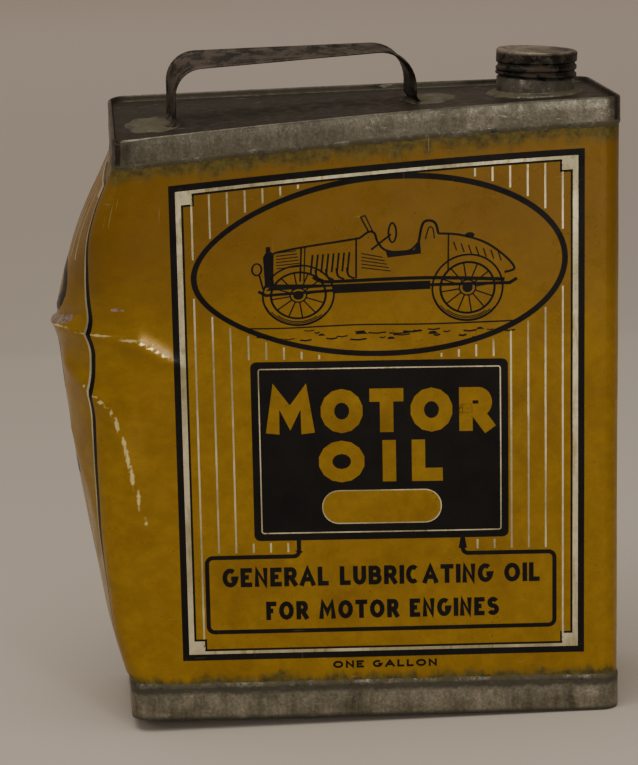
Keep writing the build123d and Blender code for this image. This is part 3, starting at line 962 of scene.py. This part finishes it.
def draw_car(bm):
    """A plain old open car seen from the side, in line and solid black."""
    x0, y0 = OVAL[0], OVAL[1] - 1.5

    def at(points):
        return [(x0 + x, y0 + y) for x, y in points]

    for x in (-33.0, 35.0):
        y = -9.5
        ring(bm, x0 + x, y0 + y, 14.6, 0.75)
        ring(bm, x0 + x, y0 + y, 11.4, 0.9)
        ring(bm, x0 + x, y0 + y, 3.6, 0.6)
        ellipse_face(bm, x0 + x, y0 + y, 2.1, 2.1, 20)
        for k in range(12):
            turn = math.radians(30 * k + 8)
            reach = [(x + r * math.cos(turn), y + r * math.sin(turn)) for r in (3.2, 10.9)]
            stroke(bm, at(reach), 0.55)
        for k, radius in enumerate((13.9, 13.2, 12.5)):
            stroke(bm, at(arc(x, y, radius, 200 + 14 * k, 322 - 8 * k, 20)), 0.4)
    hood = [(-43, -4), (-43.6, 3), (-43, 9.6), (-41.6, 11.6), (-30, 13.2), (-16, 14.4), (-8, 15.2)]
    stroke(bm, at(smooth_line(hood)), 0.9)
    scuttle = [(-8, 15.2), (-4.5, 17.6), (-2.2, 16.8), (-1, 13.0), (1.5, 9.4), (6, 7.8), (12, 8.2), (15.5, 11.5)]
    stroke(bm, at(smooth_line(scuttle)), 0.9)
    seat = [(15.5, 11.5), (17.2, 19.2), (20.0, 20.4), (22.4, 18.8), (23.4, 14.6)]
    stroke(bm, at(smooth_line(seat)), 1.0)
    tail = [(23.4, 14.6), (32, 13.4), (42, 9.6), (50, 3.4), (54, -2.0), (50, -3.6)]
    stroke(bm, at(smooth_line(tail)), 0.9)
    filled(bm, at([(-46.2, -5), (-46.8, 9.8), (-45.4, 12.6), (-43.4, 12.2), (-42.6, 9.6), (-43.0, -5)]))
    filled(bm, at([(-45.6, 12.4), (-45.6, 14.6), (-43.8, 14.6), (-43.8, 12.4)]))
    stroke(bm, at([(-31.5, 13.0), (-32.2, -3)]), 0.7)
    stroke(bm, at([(-30.0, 13.2), (-30.7, -3)]), 0.5)
    stroke(bm, at([(-9.5, 15.0), (-9.8, -3)]), 0.7)
    for k in range(8):
        x = -27 + 2.1 * k
        stroke(bm, at([(x, 9.2), (x - 0.9, 0.6)]), 0.75)
    pipe = [(-27, -1.2), (-23, -3.6), (-12, -4.0), (18, -4.4), (50, -6.6)]
    filled(bm, at([(-43, -3.6), (-20, -5.2), (20, -5.8), (20, -9.4), (-18.6, -9.4), (-19.5, -6.2), (-46, -6.6)]))
    stroke(bm, at([(20, -7.6), (52, -8.2), (55, -6.4)]), 1.3)
    stroke(bm, at([(-19, -8.0), (-46, -8.8), (-49, -6.6)]), 1.3)
    stroke(bm, at(smooth_line(pipe)), 1.5)
    for k in range(4):
        stroke(bm, at(smooth_line([(-26 + 4.2 * k, 2.2), (-25.4 + 4.2 * k, -1.4), (-23 + 4.2 * k, -3.0)])), 0.8)
    stroke(bm, at([(-3.6, 9.6), (4.4, 15.8)]), 0.8)
    ring(bm, x0 + 5.0, y0 + 16.4, 4.6, 0.75, 0.42, 32)
    stroke(bm, at([(-4.5, 17.6), (-7.6, 24.4)]), 0.6)
    stroke(bm, at([(-7.6, 24.4), (-5.8, 24.8), (-2.6, 17.0)]), 0.5)
    filled(bm, at([(2.2, 8.4), (13.6, 8.2), (16.0, 12.0), (16.4, 6.4), (3.0, 5.6)]))
    stroke(bm, at(smooth_line([(18.2, 12.6), (19.6, 17.2), (21.2, 17.0), (21.8, 12.6)])), 0.5)
    stroke(bm, at([(27.5, 14.2), (27.2, -2)]), 0.6)
    ellipse_face(bm, x0 + 36.0, y0 + 13.0, 2.0, 1.2, 16)
    for k in range(7):
        x = 29.5 + 3.0 * k
        stroke(bm, at([(x, 10.6 - 0.9 * k), (x + 1.2, 6.8 - 0.9 * k)]), 0.5)
    for k in range(6):
        y = 11.4 - 1.5 * k
        stroke(bm, at([(-41.6, y), (-33.6 + 0.4 * k, y + 0.4)]), 0.42)
    for k in range(5):
        y = 5.0 - 1.6 * k
        stroke(bm, at([(-7.6, y + 3.2), (1.0 + 0.8 * k, y + 0.8)]), 0.42)
    ring(bm, x0 - 49.4, y0 + 4.2, 3.2, 0.7, 0.7, 24)
    stroke(bm, at([(-48.4, 1.2), (-47.0, -5.8)]), 0.7)
    ground = [(-55, -24.6), (-38, -24.9), (-10, -24.3), (20, -24.8), (56, -24.3)]
    stroke(bm, at(smooth_line(ground)), 0.6)
    draw = random.Random(11)
    for k in range(26):
        x = -50 + 4 * k + draw.uniform(-1.4, 1.4)
        y = -26.2 - draw.uniform(0, 4.6)
        length = draw.uniform(2.5, 8.5) * (1 - abs(x) / 110)
        stroke(bm, at([(x, y), (x + length / 2, y - 0.3), (x + length, y + 0.15)]), draw.uniform(0.4, 0.8))
    for x, y, size in ((-8, -28.5, 2.6), (4, -31.0, 1.7), (21, -29.2, 2.2), (-24, -28.8, 1.5), (40, -27.6, 1.6)):
        rock = [(x - size, y), (x - size * 0.6, y + size * 0.5), (x + size * 0.3, y + size * 0.6), (x + size, y)]
        filled(bm, at(rock[::-1]))


def front_design():
    """Flat black, silver and yellow parts of the large panels."""
    black, silver, over_silver, over_yellow = (bmesh.new() for _ in range(4))
    plain = shrink(BORDER, BORDER_LINE, BORDER_LINE)
    stepped = shrink(plain, SILVER_SIDE, SILVER_END)
    inner = shrink(stepped, THIN_LINE, THIN_LINE)
    frame_between(black, BORDER, 0, plain, 0)
    frame_between(silver, plain, 0, stepped, STEP)
    frame_between(black, stepped, STEP, inner, STEP)
    hollow(black, ellipse_face(black, *OVAL), OVAL_LINE)
    for k in range(22):
        x = STRIPE_MIDDLE + STRIPE_PITCH * (k - 10.5)
        for low, high in stripe_spans(x):
            box_face(silver, (x - STRIPE / 2, low, x + STRIPE / 2, high))
    box_face(black, PANEL, 2.5)
    hollow(over_silver, box_face(over_silver, shrink(PANEL, 2.9, 2.9), 1.2), 0.5)
    hollow(over_silver, box_face(over_silver, PILL, 6.9, 8), PILL_LINE)
    box_face(over_yellow, shrink(PILL, PILL_LINE, PILL_LINE), 6.4, 8)
    draw_words(over_yellow, "MOTOR", (-43.6, 120.4, 48.6, 138.6), 5.5, 0.16)
    draw_words(over_yellow, "OIL", (-22.8, 99.8, 27.8, 117.2), 5.5, 0.4)
    left, bottom, right, top = BOX
    half = BOX_LINE / 2
    rounded = 2.5
    flare = 2.2
    shoulder = top + 1.4
    path = [(NECK_LINES[0], PANEL[1] + 0.2), (NECK_LINES[0], shoulder)]
    path += arc(NECK_LINES[0] - flare, shoulder, flare, 0, -90, 5)
    path += arc(left + rounded + half, top - half - rounded, rounded, 90, 180, 5)
    path += arc(left + rounded + half, bottom + half + rounded, rounded, 180, 270, 5)
    path += arc(right - rounded - half, bottom + half + rounded, rounded, 270, 360, 5)
    path += arc(right - rounded - half, top - half - rounded, rounded, 0, 90, 5)
    path += arc(NECK_LINES[1] + flare, shoulder, flare, -90, -180, 5)
    path += [(NECK_LINES[1], shoulder), (NECK_LINES[1], PANEL[1] + 0.2)]
    stroke(black, path, BOX_LINE)
    draw_words(black, "GENERAL LUBRICATING OIL", (-63.0, 56.4, 67.5, 64.4), 1.9)
    draw_words(black, "FOR MOTOR ENGINES", (-45.5, 42.2, 50.5, 50.0), 1.9, 0.18)
    draw_words(black, "ONE GALLON", (-18.5, 20.9, 24.5, 24.0), 0.85, 0.26)
    draw_car(black)
    return black, silver, over_silver, over_yellow


def side_design():
    """Flat parts of the narrow panels."""
    black, silver = bmesh.new(), bmesh.new()
    plain = shrink(SIDE_BORDER, 1.7, 1.7)
    frame_between(black, SIDE_BORDER, 0, plain, 0)
    frame_between(silver, plain, 0, shrink(plain, 0.9, 0.9), STEP)
    for k in range(6):
        x = STRIPE_PITCH * (k - 2.5)
        for low, high in SIDE_STRIPES:
            box_face(silver, (x - STRIPE / 2, low, x + STRIPE / 2, high))
    for letter, middle, half in SIDE_LETTERS:
        draw_words(black, letter, (-half, middle - SIDE_LETTER_HALF, half, middle + SIDE_LETTER_HALF), 6.4)
    return black, silver


# Where the flat designs stand on the can, and how thick an ink is
FRONT = Matrix(((1, 0, 0, 0), (0, 0, -1, -DEPTH / 2 + BODY_INSET), (0, 1, 0, 0), (0, 0, 0, 1)))
BACK = Matrix.Rotation(math.pi, 4, "Z") @ FRONT
LEFT = Matrix(((0, 0, -1, -WIDTH / 2 + BODY_INSET), (-1, 0, 0, 0), (0, 1, 0, 0), (0, 0, 0, 1)))
RIGHT = Matrix.Rotation(math.pi, 4, "Z") @ LEFT
INK = 0.05


def print_on(name, design, layer, places, finish):
    """Lays one flat colour on the panels: cut to the sheet's grid, given its thickness, and bent with it."""
    joined = bmesh.new()
    scratch = bpy.data.meshes.new("flat_colour")
    bmesh.ops.triangulate(design, faces=[f for f in design.faces if len(f.verts) > 4])
    for face in design.faces:
        face.normal_update()
        if face.normal.z < 0:
            face.normal_flip()
    design.to_mesh(scratch)
    for place in places:
        before = set(joined.verts)
        joined.from_mesh(scratch)
        verts = [v for v in joined.verts if v not in before]
        bmesh.ops.translate(joined, vec=(0, 0, 0.01 + INK * layer), verts=verts)
        bmesh.ops.transform(joined, matrix=place, verts=verts)
    bpy.data.meshes.remove(scratch)
    across = places[0] in (FRONT, BACK)
    cut_grid(joined, X_CUTS if across else (), () if across else Y_CUTS, Z_CUTS)
    bmesh.ops.triangulate(joined, faces=[f for f in joined.faces if len(f.verts) > 4])
    joined.normal_update()
    thicken(joined, INK * 0.8)
    finish_piece(name, joined, "can", [], finish)


black, silver, over_silver, over_yellow = front_design()
print_on("panel_black", black, 1, (FRONT, BACK), black_ink)
print_on("panel_silver", silver, 1, (FRONT, BACK), silver_ink)
print_on("panel_fine_lines", over_silver, 2, (FRONT, BACK), silver_ink)
print_on("panel_yellow_letters", over_yellow, 2, (FRONT, BACK), yellow_print)
side_black, side_silver = side_design()
print_on("side_black", side_black, 1, (LEFT, RIGHT), black_ink)
print_on("side_silver", side_silver, 1, (LEFT, RIGHT), silver_ink)


# ---------------------------------------------------------------- ends

# Both ends have one section: a skirt, a folded rim and a recessed panel, as (inset, height)
top_rows = [
    (0.0, HEIGHT - TOP_SKIRT),
    (0.0, HEIGHT - 5.0),
    (0.0, HEIGHT - 0.9),
    (0.25, HEIGHT - 0.3),
    (0.8, HEIGHT),
    (1.35, HEIGHT - 0.3),
    (1.6, HEIGHT - 1.0),
    (1.75, HEIGHT - 1.9),
    (2.2, HEIGHT - 2.4),
    (3.2, HEIGHT - PANEL_RECESS),
]
top = outline_rows(top_rows, fill_last=True)
cut_grid(top, END_X_CUTS, END_Y_CUTS)
thicken(top, TIN)
finish_piece("top_pan", top, "can", ["top_end"], end_tin)

bottom_rows = [(inset, HEIGHT - height) for inset, height in top_rows[3:]]
bottom_rows = [(0.0, BOTTOM_SKIRT), (0.0, 7.0), (0.0, 0.9)] + bottom_rows
bottom = outline_rows(bottom_rows, fill_last=True)
cut_grid(bottom, END_X_CUTS, END_Y_CUTS)
thicken(bottom, TIN)
finish_piece("bottom_pan", bottom, "can", ["bottom_end"], end_tin)


def solder_bead(name, height, way, node):
    """Ragged run of solder along the open edge of a skirt; way is -1 where it spreads down the sheet."""
    rows = [(BODY_INSET - 0.04, height + way * 1.3), (0.22, height + way * 0.7), (-0.06, height - way * 0.1)]
    rows += [(-0.03, height - way * 0.9), (0.3, height - way * 1.4)]
    bm = outline_rows(rows)
    cut_grid(bm, [-101 + 1.5 * k for k in range(136)], [-38 + 1.5 * k for k in range(52)])
    for vert in bm.verts:
        spread = (vert.co.z - height) * way
        wave = noise.noise(vert.co / 9) * 0.6 + noise.noise(vert.co / 3) * 0.4
        vert.co.z += way * wave * clamp((spread + 2) / 4)
        lump = noise.noise(vert.co / 3.4 + Vector((9, 0, 0)))
        out = Vector((vert.co.x, vert.co.y, 0)).normalized()
        if -2 < spread < 1.9:
            vert.co += out * (0.07 * lump)
    thicken(bm, 0.25)
    finish_piece(name, bm, "can", [node], seam_solder, sharp=50)


solder_bead("top_solder", HEIGHT - TOP_SKIRT, -1, "top_seam_solder")
solder_bead("bottom_solder", BOTTOM_SKIRT, 1, "bottom_seam_solder")

# Lock seam down the back: a folded ridge with solder run into it
SEAM_BEAD = (2.4, 0.62)
SEAM_SHORT = 6.0
seam = bmesh.new()
seam_low, seam_high = cad_corners("side_seam_solder")
seam_middle = (seam_low + seam_high) / 2
bmesh.ops.create_cube(seam, size=1)
bmesh.ops.scale(seam, vec=(*SEAM_BEAD, seam_high.z - seam_low.z - SEAM_SHORT), verts=seam.verts)
bmesh.ops.bevel(
    seam,
    geom=[e for e in seam.edges if abs(e.verts[0].co.z - e.verts[1].co.z) > 1],
    affect="EDGES",
    offset=0.28,
    offset_type="OFFSET",
    segments=3,
    profile=0.5,
    material=-1,
)
seam_place = (seam_middle.x, DEPTH / 2 - BODY_INSET + 0.2, seam_middle.z - SEAM_SHORT / 2)
bmesh.ops.translate(seam, vec=seam_place, verts=seam.verts)
cut_grid(seam, z_cuts=[20 + 2 * k for k in range(112)])
for vert in seam.verts:
    vert.co.x += 0.5 * noise.noise(Vector((0, 0, vert.co.z / 9))) + 0.2 * noise.noise(vert.co / 2)
finish_piece("side_solder", seam, "can", ["side_seam_solder"], old_solder)


# ---------------------------------------------------------------- spout and cap

spout_place = Matrix.Translation(SPOUT) @ Matrix.Rotation(math.radians(SPOUT_TILT), 4, "Y")


def thread(vert, start, turns, depth, width=0.42):
    """Moves a point of a turned wall out along a right-hand helical ridge."""
    angle = math.atan2(vert.co.y, vert.co.x) % (2 * math.pi)
    best = 0.0
    for turn in range(-1, int(turns) + 2):
        travelled = turn + angle / (2 * math.pi)
        if 0 <= travelled <= turns:
            gap = abs(vert.co.z - start - PITCH * travelled) / PITCH
            end = ease(min(travelled, turns - travelled), 0, 0.08)
            best = max(best, end * (1 - ease(gap, 0.12, width)))
    out = Vector((vert.co.x, vert.co.y, 0)).normalized()
    vert.co += out * (depth * best)


neck_rows = [(FLANGE_RADIUS, -0.9), (COLLAR_RADIUS + 0.8, -0.9), (COLLAR_RADIUS + 0.15, -1.5)]
neck_rows += [(COLLAR_RADIUS, -0.6), (COLLAR_RADIUS, COLLAR_HEIGHT - 0.6), (COLLAR_RADIUS - 0.4, COLLAR_HEIGHT)]
neck_rows += [(NECK_RADIUS + 0.5, COLLAR_HEIGHT + 0.45), (NECK_RADIUS, COLLAR_HEIGHT + 1.0)]
neck_rows += [(NECK_RADIUS, COLLAR_HEIGHT + 1.3 + 0.3 * k) for k in range(26)]
neck_rows += [(NECK_RADIUS, NECK_HEIGHT - 0.3), (NECK_RADIUS - 0.15, NECK_HEIGHT), (NECK_RADIUS - 0.5, NECK_HEIGHT)]
neck = spun(neck_rows)
for vert in neck.verts:
    if vert.co.z > COLLAR_HEIGHT + 1.2:
        thread(vert, NECK_THREAD_START, NECK_TURNS, NECK_RIDGE)
bmesh.ops.transform(neck, matrix=spout_place, verts=neck.verts)
thicken(neck, TIN)
finish_piece("spout", neck, "can", ["spout_neck"], spout_tin, bend=False)

# Solder round the flange: turned, made uneven, and let down on to the sloping panel
solder_profile = [(FLANGE_RADIUS + 2.4, -2.4), (FLANGE_RADIUS + 2.0, 0.15), (FLANGE_RADIUS + 0.8, 0.65)]
solder_profile += [(FLANGE_RADIUS - 0.4, 0.75), (COLLAR_RADIUS + 0.6, 1.1), (COLLAR_RADIUS - 0.1, 1.6)]
spout_bead = spun(solder_profile)
for vert in spout_bead.verts:
    radius = Vector((vert.co.x, vert.co.y)).length
    out = Vector((vert.co.x, vert.co.y, 0)).normalized()
    wave = noise.noise(vert.co / 6)
    vert.co += out * (1.3 * wave * ease(radius, COLLAR_RADIUS, FLANGE_RADIUS + 2))
    vert.co.z += 0.25 * noise.noise(vert.co / 3)
bmesh.ops.translate(spout_bead, vec=SPOUT, verts=spout_bead.verts)
for vert in spout_bead.verts:
    vert.co.z += sink(SPOUT.x, SPOUT.y) - sink(vert.co.x, vert.co.y)
thicken(spout_bead, 0.3)
finish_piece("spout_bead", spout_bead, "can", ["spout_solder"], seam_solder, bend=False, sharp=60)

# Cap: a curled lower edge, a grooved wall and a slightly sunk top
cap_top = CAP_BASE + CAP_HEIGHT
cap_rows = [(CAP_RADIUS - 0.9, CAP_BASE + 0.5), (CAP_RADIUS - 0.55, CAP_BASE + 0.05), (CAP_RADIUS - 0.15, CAP_BASE)]
cap_rows += [(CAP_RADIUS, CAP_BASE + 0.35), (CAP_RADIUS - 0.05, CAP_BASE + 0.8)]
cap_rows += [(CAP_RADIUS - 0.12, CAP_BASE + 1.1 + 0.25 * k) for k in range(31)]
cap_rows += [(CAP_RADIUS, cap_top - 1.3), (CAP_RADIUS - 0.1, cap_top - 0.8), (CAP_RADIUS - 0.45, cap_top - 0.3)]
cap_rows += [(CAP_RADIUS - 1.0, cap_top - 0.05), (CAP_RADIUS - 1.6, cap_top), (CAP_RADIUS - 3.2, cap_top - 0.15)]
cap_rows += [(CAP_RADIUS - 4.2, cap_top - 0.4), (8.0, cap_top - 0.45), (0.0, cap_top - 0.4)]
cap = spun(cap_rows, 128)
for vert in cap.verts:
    if CAP_BASE + 1.0 < vert.co.z < cap_top - 1.5 and Vector((vert.co.x, vert.co.y)).length > 15:
        thread(vert, CAP_THREAD_START, CAP_TURNS, CAP_GROOVE, 0.34)
for vert in cap.verts:
    radius = Vector((vert.co.x, vert.co.y)).length
    if vert.co.z > cap_top - 1 and radius < CAP_RADIUS - 2:
        vert.co.z -= 0.25 * (0.5 + noise.noise(vert.co / 6))
bmesh.ops.transform(cap, matrix=spout_place, verts=cap.verts)
thicken(cap, CAP_WALL * 0.8)
finish_piece("screw_cap", cap, "cap", ["cap_shell"], cap_tin, bend=False)

liner_low = NECK_HEIGHT + 0.05
liner_rows = [(0.0, liner_low), (LINER_RADIUS - 2.6, liner_low), (LINER_RADIUS - 0.3, liner_low + 0.05)]
liner_rows += [(LINER_RADIUS, liner_low + 0.4), (LINER_RADIUS - 0.3, liner_low + LINER_THICKNESS - 0.2)]
liner_rows += [(LINER_RADIUS - 2.6, liner_low + LINER_THICKNESS - 0.45), (0.0, liner_low + LINER_THICKNESS - 0.45)]
liner = spun(liner_rows, 64)
bmesh.ops.transform(liner, matrix=spout_place, verts=liner.verts)
finish_piece("cap_cork", liner, "liner", ["cap_liner"], cork, bend=False)


# ---------------------------------------------------------------- handle


def handle_place(along, side):
    """Plan place of the strap's front (-1) or back (1) edge, along from the handle's middle."""
    across = side * STRAP_WIDTH / 2
    x = HANDLE_X + along * math.cos(HANDLE_SKEW) - across * math.sin(HANDLE_SKEW)
    y = HANDLE_Y + along * math.sin(HANDLE_SKEW) + across * math.cos(HANDLE_SKEW)
    return x, y


STRAIGHT_STEPS = 14
TURNING_STEPS = 10


def rounded_path(points, radii):
    """Points along a line with rounded corners, the same number for any such line."""
    points = [Vector(p) for p in points]
    ends = [points[0]]
    arcs = []
    for a, b, c, radius in zip(points, points[1:], points[2:], radii):
        way_in, way_out = (b - a).normalized(), (c - b).normalized()
        turn = way_in.angle(way_out)
        reach = radius * math.tan(turn / 2)
        side = 1 if way_in.x * way_out.y - way_in.y * way_out.x > 0 else -1
        start, middle = b - way_in * reach, Vector((-way_in.y, way_in.x)) * side * radius
        centre = start + middle
        spoke = start - centre
        arcs.append(
            [centre + Matrix.Rotation(side * turn * k / TURNING_STEPS, 2) @ spoke for k in range(TURNING_STEPS + 1)]
        )
    path = []
    here = points[0]
    for bend in arcs:
        path += [here.lerp(bend[0], k / STRAIGHT_STEPS) for k in range(STRAIGHT_STEPS)]
        path += bend[:-1]
        here = bend[-1]
    path += [here.lerp(points[-1], k / STRAIGHT_STEPS) for k in range(STRAIGHT_STEPS + 1)]
    return path


def strap_edge(side):
    """Route of one edge of the strap: foot, riser, top, riser, foot."""
    toe = HALF_SPAN + FOOT_LENGTH
    left_top, right_top = HANDLE_TOP[side]
    lift = 0.06 + STRAP - PANEL_RECESS
    feet = []
    for along in (-toe, -HALF_SPAN, HALF_SPAN, toe):
        x, y = handle_place(along, side)
        feet.append((along, HEIGHT - sink(x, y) + lift))
    corners = [feet[0], feet[1], (-HALF_SPAN, left_top), (HALF_SPAN, right_top), feet[2], feet[3]]
    return [Vector((*handle_place(p.x, side), p.y)) for p in rounded_path(corners, BENDS)]


# Section of the strap: stations across it, and how far its folded hems stand over its middle
ACROSS = (0, 0.01, 0.03, 0.07, 0.12, 0.145, 0.16, 0.3, 0.5, 0.7, 0.84, 0.855, 0.88, 0.93, 0.97, 0.99, 1.0)
HEM_RISE = (-0.5, -0.18, 0, 0.1, 0.06, -0.1, -0.32, -0.4, -0.42)
FOOT_SINK = 0.9

front_edge, back_edge = strap_edge(-1), strap_edge(1)
strap = bmesh.new()
stations = len(front_edge)
bmesh.ops.create_grid(strap, x_segments=stations - 1, y_segments=len(ACROSS) - 1, size=0.5)
ways = []
for k in range(stations):
    a = front_edge[max(k - 1, 0)].lerp(back_edge[max(k - 1, 0)], 0.5)
    b = front_edge[min(k + 1, stations - 1)].lerp(back_edge[min(k + 1, stations - 1)], 0.5)
    ways.append((b - a).cross(back_edge[k] - front_edge[k]).normalized())
    if k > 0 and ways[-1].dot(ways[-2]) < 0:
        ways[-1].negate()
if ways[stations // 2].z < 0:
    ways = [-way for way in ways]
for vert in strap.verts:
    k = round((vert.co.x + 0.5) * (stations - 1))
    j = round((vert.co.y + 0.5) * (len(ACROSS) - 1))
    share = ACROSS[j]
    rise = HEM_RISE[min(j, len(ACROSS) - 1 - j)]
    rise += 0.06 * noise.noise(Vector((k / 5, share * 3, 1)))
    vert.co = front_edge[k].lerp(back_edge[k], share) + ways[k] * rise
    toe = min(k, stations - 1 - k) / STRAIGHT_STEPS
    vert.co.z -= FOOT_SINK * (1 - ease(toe, 0.8, 1.5))
strap.normal_update()
crown = max(strap.faces, key=lambda f: f.calc_center_median().z)
if crown.normal.z < 0:
    bmesh.ops.reverse_faces(strap, faces=strap.faces)
thicken(strap, STRAP * 0.75)
finish_piece("strap_handle", strap, "can", ["handle_strap"], handle_tin, bend=False)


def solder_pad(name, node, seed):
    """Ragged smear of solder that holds one foot of the handle."""
    low, high = cad_corners(node)
    centre = (low + high) / 2
    half_x, half_y = (high.x - low.x) / 2, (high.y - low.y) / 2
    bm = bmesh.new()
    bmesh.ops.create_circle(bm, cap_ends=True, segments=64, radius=1)
    for ring_width in (0.05, 0.06, 0.08, 0.1, 0.12, 0.14):
        bm.faces.ensure_lookup_table()
        inner = max(bm.faces, key=lambda f: len(f.verts))
        bmesh.ops.inset_region(bm, faces=[inner], thickness=ring_width, use_boundary=True, use_even_offset=True)
    for vert in bm.verts:
        radius = vert.co.length
        edge = 0.9 + 0.22 * noise.noise(vert.co.normalized() * 1.9 + Vector((0, 0, seed)))
        rise = (1 - clamp(radius) ** 4) * 1.0 - 0.1
        x, y = centre.x + vert.co.x * half_x * edge, centre.y + vert.co.y * half_y * edge
        lump = 0.3 * noise.noise(Vector((x / 5, y / 5, seed)))
        level = HEIGHT - PANEL_RECESS - sink(x, y) - panel_drop(x, y)
        vert.co = Vector((x, y, level + rise + lump * clamp(1.2 - radius)))
    bm.normal_update()
    thicken(bm, 0.3)
    finish_piece(name, bm, "can", [node], seam_solder, bend=False, sharp=60)


solder_pad("left_pad", "handle_solder_left", 2.0)
solder_pad("right_pad", "handle_solder_right", 6.0)


# ---------------------------------------------------------------- floor, light and camera


def flat_stage(name, corners, finish):
    """One flat sheet of the surroundings, in metres."""
    bm = bmesh.new()
    bm.faces.new([bm.verts.new(corner) for corner in corners])
    mesh = bpy.data.meshes.new(name)
    bm.to_mesh(mesh)
    bm.free()
    mesh.materials.append(finish)
    piece = bpy.data.objects.new(name, mesh)
    bpy.context.collection.objects.link(piece)


def make_paper():
    """Pale floor paper with a slightly darker sheet laid over its far part."""
    finish = Finish("pale_paper", 0.0, 0.9)
    place = finish.add("ShaderNodeTexCoord").outputs["Object"]
    away = finish.split(place)[1]
    far = finish.band(away, 0.70, 0.74)
    farther = finish.band(away, 0.7, 3.5)
    colour = finish.mix(far, (0.46, 0.41, 0.35), (0.44, 0.385, 0.33))
    colour = finish.mix(farther, colour, (0.95, 0.83, 0.72))
    return finish.to_shader(Base_Color=colour)


REACH = 6
BACKDROP_HEIGHT = 4
paper = make_paper()
floor_corners = [(-REACH, -REACH, 0), (REACH, -REACH, 0), (REACH, REACH, 0), (-REACH, REACH, 0)]
flat_stage("floor", floor_corners, paper)
back_left, back_right = (-REACH, REACH, 0), (REACH, REACH, 0)
back_tops = [(REACH, REACH, BACKDROP_HEIGHT), (-REACH, REACH, BACKDROP_HEIGHT)]
flat_stage("backdrop", [back_left, back_right, *back_tops], paper)


def soft_light(name, place, target, size, watts, tint):
    """A rectangular lamp turned towards a place."""
    lamp = bpy.data.lights.new(name, "AREA")
    lamp.shape = "RECTANGLE"
    lamp.size, lamp.size_y = size
    lamp.energy = watts
    lamp.color = tint
    holder = bpy.data.objects.new(name, lamp)
    holder.location = place
    holder.rotation_euler = (Vector(target) - Vector(place)).to_track_quat("-Z", "Y").to_euler()
    bpy.context.collection.objects.link(holder)


soft_light("ceiling_light", (-0.3, -0.4, 2.2), (0, 0.1, 0.1), (2.0, 1.8), 37, (1.0, 0.93, 0.84))
soft_light("front_fill", (0.55, -1.5, 0.5), (-0.08, -0.04, 0.13), (0.3, 0.55), 7, (1.0, 0.94, 0.87))
soft_light("left_light", (-1.5, -0.9, 1.1), (0, 0, 0.14), (0.5, 0.6), 5, (1.0, 0.95, 0.9))

world = bpy.data.worlds.new("room")
world.use_nodes = True
surround = world.node_tree.nodes["Background"]
surround.inputs["Color"].default_value = (0.5, 0.46, 0.42, 1)
surround.inputs["Strength"].default_value = 0.5
bpy.context.scene.world = world

# Camera: where it stands in metres, and how it is turned in radians
CAMERA_PLACE = (-0.11526, -1.09984, 0.38391)
yaw, pitch, roll = 0.0876412, 0.2209476, -0.0202213
look = Vector((math.sin(yaw) * math.cos(pitch), math.cos(yaw) * math.cos(pitch), -math.sin(pitch)))
level_right = look.cross(Vector((0, 0, 1))).normalized()
level_up = level_right.cross(look)
right = math.cos(roll) * level_right + math.sin(roll) * level_up
up = -math.sin(roll) * level_right + math.cos(roll) * level_up
lens = bpy.data.cameras.new("view")
lens.sensor_width = 36.0
lens.lens = 128.0
lens.clip_start = 0.05
camera = bpy.data.objects.new("view", lens)
turn = Matrix((right, up, -look)).transposed()
camera.matrix_world = Matrix.Translation(CAMERA_PLACE) @ turn.to_4x4()
bpy.context.collection.objects.link(camera)
bpy.context.scene.camera = camera

bpy.context.view_layer.update()
